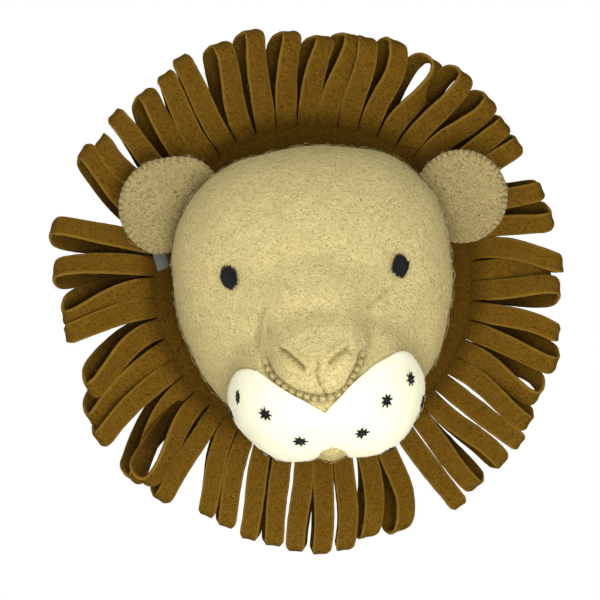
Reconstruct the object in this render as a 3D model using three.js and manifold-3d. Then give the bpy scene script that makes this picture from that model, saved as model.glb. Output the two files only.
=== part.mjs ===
// A stuffed lion head of felted wool with a looped felt mane, made to hang flat on a wall.
// Millimetres, +Z up, the wall is the plane y = 0 and the lion looks along -Y.
// Left and right are a viewer's. "Depth" is the distance in front of the wall, so y = -depth.
import * as THREE from 'three';
import { mergeVertices } from 'three/addons/utils/BufferGeometryUtils.js';
import Module from 'manifold-3d';

const wasm = await Module();
wasm.setup();

// Sizes

const gap = 0.3;                 // air between two pieces that touch

const domeHalfWidth = 81;        // the skull, without its full upper corners
const domeHalfHeight = 80;
const domeHeight = 2;            // its centre, above the mount
const domeDepth = 47;            // its widest place, in front of the wall
const domeFront = 62;            // how far the brow stands out from there
const domeBack = 88;             // how slowly it closes towards the wall
const muzzleHalfWidth = 49;
const muzzleHalfHeight = 41.5;
const muzzleFront = 47;
const muzzleSide = 2.4;          // the muzzle sits a little to the right
const muzzleHeight = -51.5;
const muzzleDepth = 84;
const faceBehind = 24;           // all the face's angles are taken from a point inside the head,
const faceAbove = 33.5;          // this far behind the muzzle's centre and above it
const blend = 8;                 // how tightly the muzzle joins the skull
const noseWidth = 50;
const noseSide = -2.5;
const noseRaise = 10;            // how far the bridge of the nose stands out
const noseTop = 8;               // where the bridge runs out into the brow
const noseLength = 42;
const noseFoot = -58.8;          // its lower end, over the muzzle
const noseSmile = 12.5;          // how far its lower end curves up at its two corners
const noseBehind = 14;           // it starts to stand out this far behind the muzzle's centre
const noseRun = 30;              // and stands out in full this much further forward
const noseSoftness = 2.2;        // how gently its edges round off
const fillRaise = 9;             // the stuffing between brow and muzzle, forward
const fillHeight = -6;           // its middle
const fillDroop = 20;            // how much lower that lies at the muzzle's sides
const fillHalfWidth = 62;
const fillHalfHeight = 27;
const backFelt = 3;              // the closing felt at the back
const backInset = 1.5;

const patchFelt = 2.4;           // the cream felt of the muzzle
const seamGap = 0.2;             // degrees between the two patches

const eyeWidth = 10;
const eyeHeight = 13;
const eyeRaise = 1.6;
const eyeSpread = 48.9;          // degrees to each side
const eyeRise = 27.1;            // degrees above the middle of the face

const spotSpan = 9.6;
const spotArms = 8;
const spotRaise = 0.8;

const earFelt = 5;               // two plies
const earDepth = 40;
const earCup = 5;                // how far the rim curls towards the viewer
const leftEarOut = 0.5;          // the ears' middles, out from the skull's side
const leftEarUp = 50.5;          // and up from its centre
const rightEarOut = 9.5;
const rightEarUp = 45;

const maneFelt = 3.2;
const slitGap = 0.3;
const loopOpening = 14;          // across a loop at its widest
const loopLeast = 3;             // what is left of that from front to rear in a loop on its side
const twistShare = 0.55;         // a loop's felt turns by this share of how far the loop is turned
const reachStep = 1;             // what one step of a loop's reach adds to its length
const slitRadius = 97.5;         // where the slits end and the loops start
const slitShift = 4.7;           // the band is this much off centre, towards the upper right
const slitShiftClock = 54;
const maneSide = -2;             // the middle of the ring of tips
const maneHeight = -1;
const tipRadius = 155.5;
const bandDepth = 10;            // the middle of the band where the loops start
const bandRoom = 0.5;            // between the band and the head, at the band's corners
const bandFlare = 0.05;          // forward for each millimetre outwards
const loopFlare = 0.12;
const rootGap = 0.4;             // between a loop's legs where they leave the band
const bandPress = 0.4;           // felt of the band over a loop's leg
const bandThick = 2 * (maneFelt + bandPress) + rootGap;
const bandOverlap = 1;           // how far a loop's legs run into the band
const sliver = 0.05;             // facets of the mane that differ by less are merged
const firstRoot = 3.4;           // the clock angle of the first loop
const crowding = 2.4;            // degrees that the roots are drawn back towards the top
const drawnBack = 1.7;           // and at the lower left, round this loop and over this many more
const drawnBackLoop = 32.8;
const drawnBackSpread = 5.5;

const tagWidth = 8;
const tagLength = 18;
const tagThick = 0.8;
const tagSlant = 1;              // its end is cut askew by this much
const tagTilt = 6;
const tagLean = 13;              // its lower end hangs towards the head by this
const tagSide = -7;              // its middle, from the middle of the left ear
const tagDrop = 27.5;

// How the loops lie, bunch by bunch and clockwise from the top, as the photograph shows them.
// lean: degrees that a tip lies clockwise of its root. gape: degrees that the rear leg lies
// clockwise of the front one near the tip. slip: the same at the root, because the strip's rear
// edge was sewn on shifted. reach: a tip's extra length, in steps.
const bunches = [
  { lean: [3.5, 2.2, -1, -2.4], gape: [-3, -3.5, -1, -3], slip: [-3, -3, -3, -3.5], reach: [-3, 0, 0, 3] },
  {
    lean: [0, 0, 1, 0.5, -1],
    gape: [-5.6, -4, -3.6, -2, -2],
    slip: [-4.2, -4, -3.6, -3, -3],
    reach: [2, 4, 3, 0, -1],
  },
  { lean: [4, 3.5], gape: [-1, -3.2], slip: [-2, -2], reach: [-2, -2] },
  {
    lean: [8, 2, 0, 3, 2, 3, 3, 1, 0, 0.2, -1],
    gape: [0, 0, 3, 0, -3, -4.6, -2, 0, 1, -2, 0],
    slip: [1, 1.5, 1, 0, -1.5, 0, 0, 0, 0, 0, 0],
    reach: [-2, -8, -4, -2, 1, -2, 0, 3, 2, 1, 4],
  },
  {
    lean: [7, 7, 5, 3, 1, -1, -2.8, -3.8, -5.7],
    gape: [3, 2, 0, 0.5, -0.7, 0.8, -0.6, 0.8, 0],
    slip: [0, 0, 0.3, 0.5, -0.7, 0.8, -0.5, 1, 1],
    reach: [0, -2, 3, 4, 2, 0, -1, -4, -6],
  },
  {
    lean: [-1.5, -2.4, -8.3, -4.6, -7.6, -8.8],
    gape: [2, 5, 3, 2, 3.6, 4],
    slip: [2, 2, 2, 2, 2, 2],
    reach: [0, -4, 2, 0, -2, -10],
  },
  { lean: [-3.7, -6.5, -5, -3], gape: [0, 4, -3, -3], slip: [1.5, 0.6, -0.3, -1.5], reach: [-7, -7, -2, 3] },
  {
    lean: [8, 5, 3.7, 3.8, 3.2, 0.5, 1.5, 2, 3],
    gape: [-2, 0, 0, -3, 0, 0, -3, -3, -3],
    slip: [-2, -2, -2, -3, -3, -3, -3, -3, -3],
    reach: [4, -1, 2, -1, 0, 4, 2, 4, 0],
  },
];
// Loops that lie behind their neighbours or in front of them.
const setBack = { 12: -0.13, 33: -0.11 };
const setForward = {
  5: 0.12, 11: 0.05, 13: 0.05, 17: 0.05, 31: -0.04, 32: 0.2, 34: 0.06, 35: -0.04, 36: 0.08,
};

function felt(color, roughness = 0.95) {
  return new THREE.MeshStandardMaterial({ color, roughness, metalness: 0 });
}
const straw = felt(0xc8b684);
const ochre = felt(0x7a5a1e);
const cream = felt(0xfbf9e6);
const earWool = felt(0xb7a778);
const black = felt(0x181a1d, 0.7);
const greyTag = felt(0x6f7074, 0.8);

// Small helpers

const radians = (degrees) => degrees * Math.PI / 180;
const clamp = (t) => Math.min(1, Math.max(0, t));
const smooth = (t) => clamp(t) ** 2 * (3 - 2 * clamp(t));
const bell = (t) => (1 - Math.min(1, t * t)) ** 2;
const edge = (t) => 1 / (1 + Math.exp(t));

// A clock angle runs clockwise from the top as a viewer sees it.
function onWall(clock, radius, depth) {
  return new THREE.Vector3(radius * Math.sin(radians(clock)), -depth, radius * Math.cos(radians(clock)));
}

function geometryOf(points, triangles) {
  const geometry = new THREE.BufferGeometry();
  const numbers = points.flatMap((p) => [p.x, p.y, p.z]);
  geometry.setAttribute('position', new THREE.Float32BufferAttribute(numbers, 3));
  geometry.setIndex(triangles);
  return geometry;
}

function toSolid(geometry) {
  const plain = geometry.clone();
  plain.deleteAttribute('normal');
  plain.deleteAttribute('uv');
  const merged = mergeVertices(plain, 1e-4);
  return new wasm.Manifold(new wasm.Mesh({
    numProp: 3,
    vertProperties: new Float32Array(merged.attributes.position.array),
    triVerts: new Uint32Array(merged.index.array),
  }));
}

function fromSolid(solid) {
  const mesh = solid.getMesh();
  const geometry = new THREE.BufferGeometry();
  geometry.setAttribute('position', new THREE.BufferAttribute(mesh.vertProperties, 3));
  geometry.setIndex(new THREE.BufferAttribute(mesh.triVerts, 1));
  return geometry;
}

// A closed solid between rings of points that all have the same count. The first and the last
// ring are each closed by a fan to a middle point.
function loft(rings, startMiddle, endMiddle) {
  const count = rings[0].length;
  const points = rings.flat();
  const triangles = [];
  for (let row = 0; row + 1 < rings.length; row += 1) {
    for (let k = 0; k < count; k += 1) {
      const a = row * count + k;
      const b = row * count + (k + 1) % count;
      triangles.push(a, b, a + count, b, b + count, a + count);
    }
  }
  const start = points.push(startMiddle) - 1;
  const end = points.push(endMiddle) - 1;
  const last = (rings.length - 1) * count;
  for (let k = 0; k < count; k += 1) {
    const next = (k + 1) % count;
    triangles.push(start, next, k);
    triangles.push(end, last + k, last + next);
  }
  return geometryOf(points, triangles);
}

// The face: a skull and a muzzle, each an ellipsoid around one inner point, blended by distance

const heart = new THREE.Vector3(0, faceBehind - muzzleDepth, muzzleHeight + faceAbove);

function exitDistance(direction, centre, radii) {
  const start = heart.clone().sub(centre).divide(radii);
  const way = direction.clone().divide(radii);
  const a = way.dot(way);
  const b = way.dot(start);
  const c = start.dot(start) - 1;
  return (-b + Math.sqrt(b * b - a * c)) / a;
}

// Where the head is fuller than the ellipsoids: a clock angle, a spread in degrees and a share,
// for the two corners of the brow, the cheeks and the jowls.
const fullPlaces = [
  [47, 42, 0.10],
  [-50, 40, 0.075],
  [128, 24, 0.05],
  [-133, 24, 0.05],
  [153, 26, 0.06],
  [-156, 26, 0.06],
];

function fullness(clock) {
  const parts = fullPlaces.map(([middle, spread, amount]) => amount * bell((clock - middle) / spread));
  return parts.reduce((sum, part) => sum + part, 0);
}

function noseHeight(x, depth, z) {
  const aside = Math.abs(x - noseSide) / (noseWidth / 2);
  const across = edge((aside - 1) * (noseWidth / 2) / noseSoftness);
  const down = smooth((noseTop - z) / noseLength);
  const foot = edge((noseFoot - z + noseSmile * aside ** 2) / noseSoftness);
  const forward = smooth((depth - (muzzleDepth - noseBehind)) / noseRun);
  return noseRaise * across * down * foot * forward;
}

// The face runs straight from the brow down to the nose, without a hollow above the muzzle.
function faceFill(x, depth, z) {
  const middle = fillHeight - fillDroop * (x / muzzleHalfWidth) ** 2;
  const forward = smooth((depth - domeDepth) / (domeFront / 2));
  return fillRaise * bell((z - middle) / fillHalfHeight) * bell(x / fillHalfWidth) * forward;
}

// A point of the skin, by its angle from straight ahead and its clock angle.
function skin(ahead, clock) {
  const t = radians(ahead);
  const c = radians(clock);
  const direction = new THREE.Vector3(Math.sin(t) * Math.sin(c), -Math.cos(t), Math.sin(t) * Math.cos(c));
  const dome = new THREE.Vector3(0, -domeDepth, domeHeight);
  let skull = exitDistance(direction, dome, new THREE.Vector3(domeHalfWidth, domeFront, domeHalfHeight));
  if (heart.y + direction.y * skull > dome.y) {
    skull = exitDistance(direction, dome, new THREE.Vector3(domeHalfWidth, domeBack, domeHalfHeight));
  }
  const muzzle = exitDistance(
    direction,
    new THREE.Vector3(muzzleSide, -muzzleDepth, muzzleHeight),
    new THREE.Vector3(muzzleHalfWidth, muzzleFront, muzzleHalfHeight),
  );
  const reach = (skull ** blend + muzzle ** blend) ** (1 / blend);
  const point = heart.clone().addScaledVector(direction, reach);
  const around = Math.atan2(point.x, point.z - domeHeight) * 180 / Math.PI;
  const rho = Math.hypot(point.x, point.z - domeHeight) / domeHalfWidth;
  const push = 1 + fullness(around) * Math.min(rho, 1.15) ** 3;
  point.x *= push;
  point.z = domeHeight + (point.z - domeHeight) * push;
  point.y -= noseHeight(point.x, -point.y, point.z) + faceFill(point.x, -point.y, point.z);
  return point;
}

// The same by two angles, to the right and upwards, with a lift along the outward normal.
function onFace(right, up, lift = 0) {
  const at = (a, b) => skin(Math.hypot(a, b), Math.atan2(a, b) * 180 / Math.PI);
  const point = at(right, up);
  const normal = at(right + 0.5, up).sub(point).cross(at(right, up + 0.5).sub(point)).normalize();
  if (normal.dot(point.clone().sub(heart)) < 0) normal.negate();
  return point.addScaledVector(normal, lift);
}

const headBackDepth = backFelt + gap;

// How far round from straight ahead the skin comes down to a depth.
function angleAtDepth(clock, depth) {
  let low = 60;
  let high = 178;
  for (let step = 0; step < 30; step += 1) {
    const middle = (low + high) / 2;
    if (-skin(middle, clock).y > depth) low = middle;
    else high = middle;
  }
  return low;
}

const rimAngle = (clock) => angleAtDepth(clock, headBackDepth);

const headColumns = 36;
const headRows = 17;

// The head as a closed solid, grown outwards by a lift.
function headGeometry(lift = 0) {
  const rings = [];
  for (let row = 1; row <= headRows; row += 1) {
    const ring = [];
    for (let k = 0; k < headColumns; k += 1) {
      const clock = 360 * k / headColumns;
      const ahead = rimAngle(clock) * (row / headRows) ** 0.95;
      const c = radians(clock);
      ring.push(onFace(ahead * Math.sin(c), ahead * Math.cos(c), lift));
    }
    rings.push(ring);
  }
  const backMiddle = new THREE.Vector3(0, -headBackDepth, 0);
  return loft(rings, onFace(0, 0, lift), backMiddle);
}

const headSolid = toSolid(headGeometry());
const headRoom = toSolid(headGeometry(gap));

// The felt that closes the back, flat against the wall
function backPanel() {
  const outline = (depth) => Array.from({ length: headColumns }, (_, k) => {
    const clock = 360 * k / headColumns;
    const rim = skin(rimAngle(clock), clock);
    const radius = Math.hypot(rim.x, rim.z) - backInset;
    return onWall(Math.atan2(rim.x, rim.z) * 180 / Math.PI, radius, depth);
  });
  const middle = (depth) => new THREE.Vector3(0, -depth, 0);
  return loft([outline(backFelt), outline(0)], middle(backFelt), middle(0));
}

// Muzzle patches: each is cut out of a felt-thick shell over the head by a cone from the heart.
// The outlines are angles to the right and upwards, from the seam's top round over the cheek.
const patchOutline = {
  left: [[-0.4, -36.2], [-9.4, -30.4], [-18.5, -26], [-29, -22.5], [-38, -22.6], [-47, -26.5],
    [-53, -36], [-55, -50], [-49, -67], [-36, -80], [-20, -83], [-9, -74], [-4.5, -62], [-1.5, -56.5],
    [2, -54]],
  right: [[-0.4, -36.2], [4.5, -31.4], [10.8, -26], [18.5, -21.8], [28, -19.6], [38, -18.7], [46.5, -21.4],
    [52, -30], [55, -45], [51, -62], [40, -77], [23, -83], [13, -74], [8.5, -62], [5, -56.5],
    [2, -54]],
};

function patchCurve(side) {
  const shift = side === 'left' ? -seamGap / 2 : seamGap / 2;
  const corners = patchOutline[side].map(([right, up]) => new THREE.Vector3(right, up, 0));
  const curve = new THREE.CatmullRomCurve3(corners, false, 'centripetal');
  return curve.getPoints(34).map((p) => [p.x + shift, p.y]);
}

function patchCutter(side) {
  const outline = patchCurve(side);
  if (side === 'left') outline.reverse();
  const along = ([right, up], reach) => {
    const t = radians(Math.hypot(right, up));
    const c = Math.atan2(right, up);
    const way = new THREE.Vector3(Math.sin(t) * Math.sin(c), -Math.cos(t), Math.sin(t) * Math.cos(c));
    return heart.clone().addScaledVector(way, reach);
  };
  const middle = [side === 'left' ? -25 : 27, -50];
  const near = domeFront * 0.4;
  const far = domeHalfWidth * 2.4;
  const rings = [outline.map((p) => along(p, far)), outline.map((p) => along(p, near))];
  return toSolid(loft(rings, along(middle, far), along(middle, near)));
}

const patchShell = toSolid(headGeometry(gap + patchFelt)).subtract(headRoom);

function muzzlePatch(side) {
  return fromSolid(patchShell.intersect(patchCutter(side)));
}

// A low cushion on the face: an outline whose rings rise to a middle point.
function cushion(outline, middle, base, raise, rings) {
  const ring = ([share, lift]) => outline.map(([right, up]) => onFace(
    middle[0] + (right - middle[0]) * share,
    middle[1] + (up - middle[1]) * share,
    base + raise * lift,
  ));
  return loft(rings.map(ring), onFace(...middle, base + raise), onFace(...middle, base));
}

// Degrees of face angle for a millimetre across the skin at a place.
function degreesPerMillimetre(right, up) {
  const here = onFace(right, up);
  return [1 / here.distanceTo(onFace(right + 1, up)), 1 / here.distanceTo(onFace(right, up + 1))];
}

function roundOutline(middle, sides, radiusAt) {
  const [across, upwards] = degreesPerMillimetre(middle[0], middle[1]);
  return Array.from({ length: sides }, (_, k) => {
    const turn = 2 * Math.PI * k / sides;
    const [x, z] = radiusAt(k, turn);
    return [middle[0] + x * across, middle[1] + z * upwards];
  });
}

function eye(side) {
  const middle = [side * eyeSpread, eyeRise];
  const oval = (_, turn) => [Math.sin(turn) * eyeWidth / 2, Math.cos(turn) * eyeHeight / 2];
  return cushion(roundOutline(middle, 12, oval), middle, gap, eyeRaise, [[0.86, 0.7], [1, 0]]);
}

// Where the star stitches sit, as face angles. The first three of each side show from the front.
const spotPlaces = {
  left: [[-40, -34.5], [-24, -36.5], [-10.8, -47.2], [-29, -63], [-49, -47]],
  right: [[38.6, -29.6], [23.9, -33.5], [13.6, -44.8], [28, -61], [48, -44]],
};

function spot(middle) {
  const base = patchFelt + 2 * gap;
  const star = (k, turn) => {
    const radius = k % 2 === 0 ? spotSpan / 2 : spotSpan * 0.2;
    return [Math.sin(turn) * radius, Math.cos(turn) * radius];
  };
  return cushion(roundOutline(middle, spotArms * 2, star), middle, base, spotRaise, [[1, 0.5], [1, 0]]);
}

// Ears: round felt, cupped towards the viewer and cut to the head where they meet it
const ears = {
  left: {
    side: -domeHalfWidth - leftEarOut,
    height: domeHeight + leftEarUp,
    radius: 29,
    full: 5,
    fullClock: 55,
  },
  right: {
    side: domeHalfWidth + rightEarOut,
    height: domeHeight + rightEarUp,
    radius: 27.7,
    full: 0,
    fullClock: 0,
  },
};

// The depth of an ear's front (1) or back (-1) at a share of its radius.
const earSurface = (share, face) => earDepth + earCup * (share ** 2 - 0.5) + face * earFelt / 2;

function ear({ side, height, radius, full, fullClock }) {
  const sides = 24;
  const ring = (share, face) => Array.from({ length: sides }, (_, k) => {
    const clock = 360 * k / sides;
    const away = Math.abs((clock - fullClock + 540) % 360 - 180);
    const reach = (radius + full * bell(away / 60)) * share;
    return onWall(clock, reach, earSurface(reach / radius, face)).add(new THREE.Vector3(side, 0, height));
  });
  const middle = (face) => new THREE.Vector3(side, -earSurface(0, face), height);
  const rings = [ring(0.55, 1), ring(1, 1), ring(1, -1), ring(0.55, -1)];
  return fromSolid(toSolid(loft(rings, middle(1), middle(-1))).subtract(headRoom));
}

// The mane: one folded strip, so a two-ply band round the head and a loop between each two slits

const loops = bunches.flatMap(({ lean, gape, slip, reach }) => lean.map((value, k) => ({
  lean: value,
  gape: gape[k],
  slip: slip[k],
  reach: reach[k],
})));
const pitch = 360 / loops.length;
const maneMiddle = new THREE.Vector3(maneSide, 0, maneHeight);

function rootClock(index) {
  const back = crowding * (1 - Math.cos(radians(pitch * index)));
  return firstRoot + pitch * index - back - drawnBack * bell((index - drawnBackLoop) / drawnBackSpread);
}

function slitReach(clock) {
  return slitRadius + slitShift * Math.cos(radians(clock - slitShiftClock));
}

// Where the skin is at a depth, on a clock angle about the middle of the mane.
function skinByMane(clock, depth) {
  let guess = clock;
  let point;
  for (let step = 0; step < 8; step += 1) {
    point = skin(angleAtDepth(guess, depth), guess).sub(maneMiddle);
    const missed = clock - Math.atan2(point.x, point.z) * 180 / Math.PI;
    guess += (missed + 540) % 360 - 180;
  }
  return Math.hypot(point.x, point.z);
}

function band() {
  const innerDepth = bandDepth - bandFlare * (slitRadius - domeHalfWidth);
  const section = loops.map((_, k) => {
    const clock = rootClock(k + 0.5);
    const outer = slitReach(clock);
    const at = (radius, depth) => onWall(clock, radius, depth).add(maneMiddle);
    const atSkin = (depth) => at(skinByMane(clock, depth) + bandRoom, depth);
    return [
      atSkin(innerDepth + bandThick / 2),
      at(outer, bandDepth + bandThick / 2),
      at(outer, bandDepth - bandThick / 2),
      atSkin(innerDepth - bandThick / 2),
    ];
  });
  const triangles = [];
  section.forEach((_, k) => {
    const next = (k + 1) % section.length;
    for (let i = 0; i < 4; i += 1) {
      const j = (i + 1) % 4;
      triangles.push(4 * k + i, 4 * next + i, 4 * k + j, 4 * k + j, 4 * next + i, 4 * next + j);
    }
  });
  return toSolid(geometryOf(section.flat(), triangles));
}

// A loop's centre line and the way its width points, from the front leg's root over the tip.
function loopPath({ lean, gape, slip, reach }, index) {
  const root = rootClock(index);
  const start = slitReach(root) - bandOverlap;
  const length = tipRadius + reach * reachStep - maneFelt / 2 - start;
  const flare = loopFlare + (setBack[index] ?? 0) + (setForward[index] ?? 0);
  const acrossWide = radians(gape) * tipRadius;
  const roundWide = Math.sqrt(Math.max(loopOpening ** 2 - acrossWide ** 2, loopLeast ** 2));
  const deepWide = roundWide * (setBack[index] ? 0.5 : 1);
  const opening = Math.hypot(acrossWide, deepWide);
  const turn = Math.atan2(acrossWide, deepWide);
  const bend = opening / 2;
  const closed = maneFelt + rootGap;
  const leg = [0, 0.5, 1].map((q) => ({
    out: q * (length - bend),
    wide: closed + (opening - closed) * smooth(q),
  }));
  leg.push({ out: length - bend + bend * Math.SQRT1_2, wide: opening * Math.SQRT1_2 });
  const front = leg.map((station) => ({ ...station, side: 1 }));
  const rear = leg.map((station) => ({ ...station, side: -1 })).reverse();
  return [...front, { out: length, wide: 0, side: 0 }, ...rear].map(({ out, wide, side }) => {
    const share = out / length;
    const slipped = side < 0 ? slip * (1 - smooth(share)) : 0;
    const clock = root + slipped + lean * (0.35 * share + 0.65 * share * share);
    const twist = turn * smooth(share * 1.2);
    const tangent = onWall(clock + 90, 1, 0);
    const forward = new THREE.Vector3(0, -1, 0);
    const opens = forward.clone().multiplyScalar(Math.cos(twist)).addScaledVector(tangent, -Math.sin(twist));
    const roll = twist * twistShare;
    const width = tangent.clone().multiplyScalar(Math.cos(roll)).addScaledVector(forward, Math.sin(roll));
    const point = onWall(clock, start + out, bandDepth + flare * out)
      .add(maneMiddle)
      .addScaledVector(opens, side * wide / 2);
    return { point, width };
  });
}

function loopSolid(loop, index) {
  const path = loopPath(loop, index);
  const room = radians(rootClock(index + 0.5) - rootClock(index - 0.5));
  const half = ((slitReach(rootClock(index)) - bandOverlap) * room - slitGap) / 2;
  const rings = path.map(({ point, width }, k) => {
    const before = path[Math.max(k - 1, 0)].point;
    const after = path[Math.min(k + 1, path.length - 1)].point;
    const along = after.clone().sub(before).normalize();
    const across = width.clone().addScaledVector(along, -width.dot(along)).normalize().multiplyScalar(half);
    const thick = across.clone().cross(along).normalize().multiplyScalar(maneFelt / 2);
    return [
      point.clone().add(across).sub(thick),
      point.clone().sub(across).sub(thick),
      point.clone().sub(across).add(thick),
      point.clone().add(across).add(thick),
    ];
  });
  const first = path[0].point;
  const last = path[path.length - 1].point;
  return toSolid(loft(rings, first, last));
}

function mane() {
  return fromSolid(wasm.Manifold.union([band(), ...loops.map(loopSolid)]).simplify(sliver));
}

// The tag: a short woven strip that hangs out from behind the left ear
const tagTopShare = Math.hypot(tagSide, tagDrop - tagLength / 2) / ears.left.radius;
const tagDepth = earSurface(tagTopShare, -1) - gap - tagThick;

function tag() {
  const shape = new THREE.Shape();
  shape.moveTo(-tagWidth / 2, tagLength / 2);
  shape.lineTo(-tagWidth / 2, -tagLength / 2);
  shape.lineTo(tagWidth / 2, -tagLength / 2 + tagSlant);
  shape.lineTo(tagWidth / 2, tagLength / 2);
  return new THREE.ExtrudeGeometry(shape, { depth: tagThick, bevelEnabled: false });
}

// The assembly

const lion = new THREE.Group();

function addMesh(name, geometry, material) {
  const mesh = new THREE.Mesh(geometry, material);
  mesh.name = name;
  lion.add(mesh);
  return mesh;
}

addMesh('head', fromSolid(headSolid), straw);
addMesh('back_panel', backPanel(), straw);
addMesh('mane', mane(), ochre);
addMesh('ear_left', ear(ears.left), earWool);
addMesh('ear_right', ear(ears.right), earWool);
addMesh('muzzle_left', muzzlePatch('left'), cream);
addMesh('muzzle_right', muzzlePatch('right'), cream);
addMesh('eye_left', eye(-1), black);
addMesh('eye_right', eye(1), black);
for (const side of ['left', 'right']) {
  spotPlaces[side].forEach((middle, k) => {
    addMesh(`whisker_spot_${side}_${k + 1}`, spot(middle), black);
  });
}

const label = addMesh('label', tag(), greyTag);
label.rotation.set(Math.PI / 2, radians(tagTilt), radians(tagLean));
label.position.set(ears.left.side + tagSide, -tagDepth, ears.left.height - tagDrop);

export default lion;
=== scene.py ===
# %% [markdown]
# # A felt lion for the wall
# The real object is a stuffed lion head of felted wool, about 31 cm across. Its skull and muzzle
# are one padded form. A folded strip of ochre felt, slit into fifty loops, stands round it as a
# mane. Two ears, a cream muzzle in two patches, and eyes and whisker spots stitched in black wool
# make the face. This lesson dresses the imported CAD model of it, piece by piece.
#
# Every length of the object is written here in millimetres, as in the CAD source, and a mesh is
# made in metres at the very end of each step. Depth means the distance in front of the wall, so
# y is minus the depth. Left and right are a viewer's.

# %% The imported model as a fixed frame
import math

import bpy
import numpy as np
from mathutils import Matrix, Vector


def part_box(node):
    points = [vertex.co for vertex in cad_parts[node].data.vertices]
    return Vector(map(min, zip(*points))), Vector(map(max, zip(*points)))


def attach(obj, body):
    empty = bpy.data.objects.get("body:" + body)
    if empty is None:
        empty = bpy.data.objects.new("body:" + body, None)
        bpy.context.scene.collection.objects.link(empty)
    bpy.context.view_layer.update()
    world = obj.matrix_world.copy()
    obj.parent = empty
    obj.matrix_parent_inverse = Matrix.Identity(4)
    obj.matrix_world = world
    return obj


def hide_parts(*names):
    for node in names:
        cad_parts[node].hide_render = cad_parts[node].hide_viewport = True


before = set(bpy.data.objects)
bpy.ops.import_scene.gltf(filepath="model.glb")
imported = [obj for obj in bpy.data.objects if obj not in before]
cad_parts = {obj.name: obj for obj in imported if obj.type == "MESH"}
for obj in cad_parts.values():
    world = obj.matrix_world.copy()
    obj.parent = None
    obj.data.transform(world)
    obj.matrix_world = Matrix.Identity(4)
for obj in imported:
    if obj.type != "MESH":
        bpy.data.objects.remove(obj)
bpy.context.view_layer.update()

print("CAD nodes:", ", ".join(sorted(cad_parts)))

# %% [markdown]
# ## Nodes written as sentences
# Both shader trees and geometry trees are boards of nodes. Laying them by hand hides the thought
# behind them, so one small class adds a node in a single line: its type, its settings, and what
# goes into its sockets. A second class stands for one number that comes out of a node, and lets
# Python's own operators add the Math nodes, so that a formula reads as a formula.

# %% A number on a board
class Value:
    """One output socket. Each operator adds a Math node and gives what comes out of it."""

    def __init__(self, board, socket):
        self.board, self.socket = board, socket

    def math(self, operation, *others):
        return self.board.math(operation, self, *others)

    def __abs__(self):
        return self.math("ABSOLUTE")

    def between(self, low, high):
        """0 up to low, 1 from high on, and a smooth rise from one to the other."""
        settings = {"interpolation_type": "SMOOTHSTEP"}
        return self.board.add("ShaderNodeMapRange", settings, {0: self, 1: low, 2: high})[0]


def add_operator(word, operation):
    """One operator of Value, and its reflected form, so that 1 - value works too."""
    setattr(Value, f"__{word}__", lambda value, other: value.board.math(operation, value, other))
    setattr(Value, f"__r{word}__", lambda value, other: value.board.math(operation, other, value))


for word, operation in (("add", "ADD"), ("sub", "SUBTRACT"), ("mul", "MULTIPLY"),
                        ("truediv", "DIVIDE"), ("pow", "POWER")):
    add_operator(word, operation)


# %% A board of nodes
class Board:
    """Adds nodes to one tree: the type, the settings first, then the sockets' values or links."""

    def __init__(self, tree):
        self.tree = tree

    def add(self, kind, settings=None, inputs=None):
        node = self.tree.nodes.new(kind)
        for name, value in (settings or {}).items():
            setattr(node, name, value)
        for key, given in (inputs or {}).items():
            socket = node.inputs[key]
            for value in given if isinstance(given, list) else [given]:
                if isinstance(value, Value):
                    self.tree.links.new(value.socket, socket)
                else:
                    socket.default_value = value
        return [Value(self, socket) for socket in node.outputs]

    def math(self, operation, *values):
        return self.add("ShaderNodeMath", {"operation": operation}, dict(enumerate(values)))[0]

    def vector(self, operation, *values):
        inputs = dict(zip((0, "Scale") if operation == "SCALE" else (0, 1), values))
        return self.add("ShaderNodeVectorMath", {"operation": operation}, inputs)[0]

    def xyz(self, x, y, z):
        return self.add("ShaderNodeCombineXYZ", {}, {0: x, 1: y, 2: z})[0]

    def noise(self, place, scale, detail=2.0, seed=None):
        """Noise as a number and as a colour. With a seed it has a fourth dimension."""
        settings, inputs = {}, {"Vector": place, "Scale": scale, "Detail": detail}
        if seed is not None:
            settings, inputs["W"] = {"noise_dimensions": "4D"}, seed
        return self.add("ShaderNodeTexNoise", settings, inputs)

    def blend(self, share, first, second, way="MIX"):
        """Two colours mixed by a share."""
        settings = {"data_type": "RGBA", "blend_type": way}
        return self.add("ShaderNodeMix", settings, {0: share, 6: first, 7: second})[2]


# %% [markdown]
# ## Felt and wool as materials
# Pressed felt is a mat of short wool fibres that lie every way in its plane. A photograph of it
# shows soft streaks about a millimetre wide, in slightly different dyes, and no gloss. An image
# would be one way to get it, but procedural noise holds up at any distance: noise pulled long in
# one direction gives streaks, its crests are picked out as fibres, and six such layers that run
# in different directions cross each other. A slow noise bends them, so none is straight. The
# same layers drive a bump. Two attributes that the meshes carry paint shade into the felt, in its
# folds, near the head and inside the mane's loops, and paint a highlight on the cut edge of the
# mane.

# %% Colours as they look on screen
def paint(red, green, blue):
    """A screen colour, 0 to 255, as the linear colour that a shader works with."""
    def linear(channel):
        share = channel / 255
        return share / 12.92 if share <= 0.04045 else ((share + 0.055) / 1.055) ** 2.4
    return (linear(red), linear(green), linear(blue), 1.0)


# %% The start and the end of every material
def new_material(name):
    """A material, its board, and the sockets of its texture coordinates."""
    material = bpy.data.materials.new(name)
    material.use_nodes = True
    board = Board(material.node_tree)
    return material, board, board.add("ShaderNodeTexCoord")


def finish_material(material, board, tone, bump, roughness, shine):
    """bump is its height, strength, and distance in metres."""
    shader = material.node_tree.nodes["Principled BSDF"]
    normal = board.add("ShaderNodeBump", {}, dict(zip(("Height", "Strength", "Distance"), bump)))[0]
    board.tree.links.new(tone.socket, shader.inputs["Base Color"])
    board.tree.links.new(normal.socket, shader.inputs["Normal"])
    shader.inputs["Roughness"].default_value = roughness
    shader.inputs["Specular IOR Level"].default_value = shine
    return material


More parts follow.
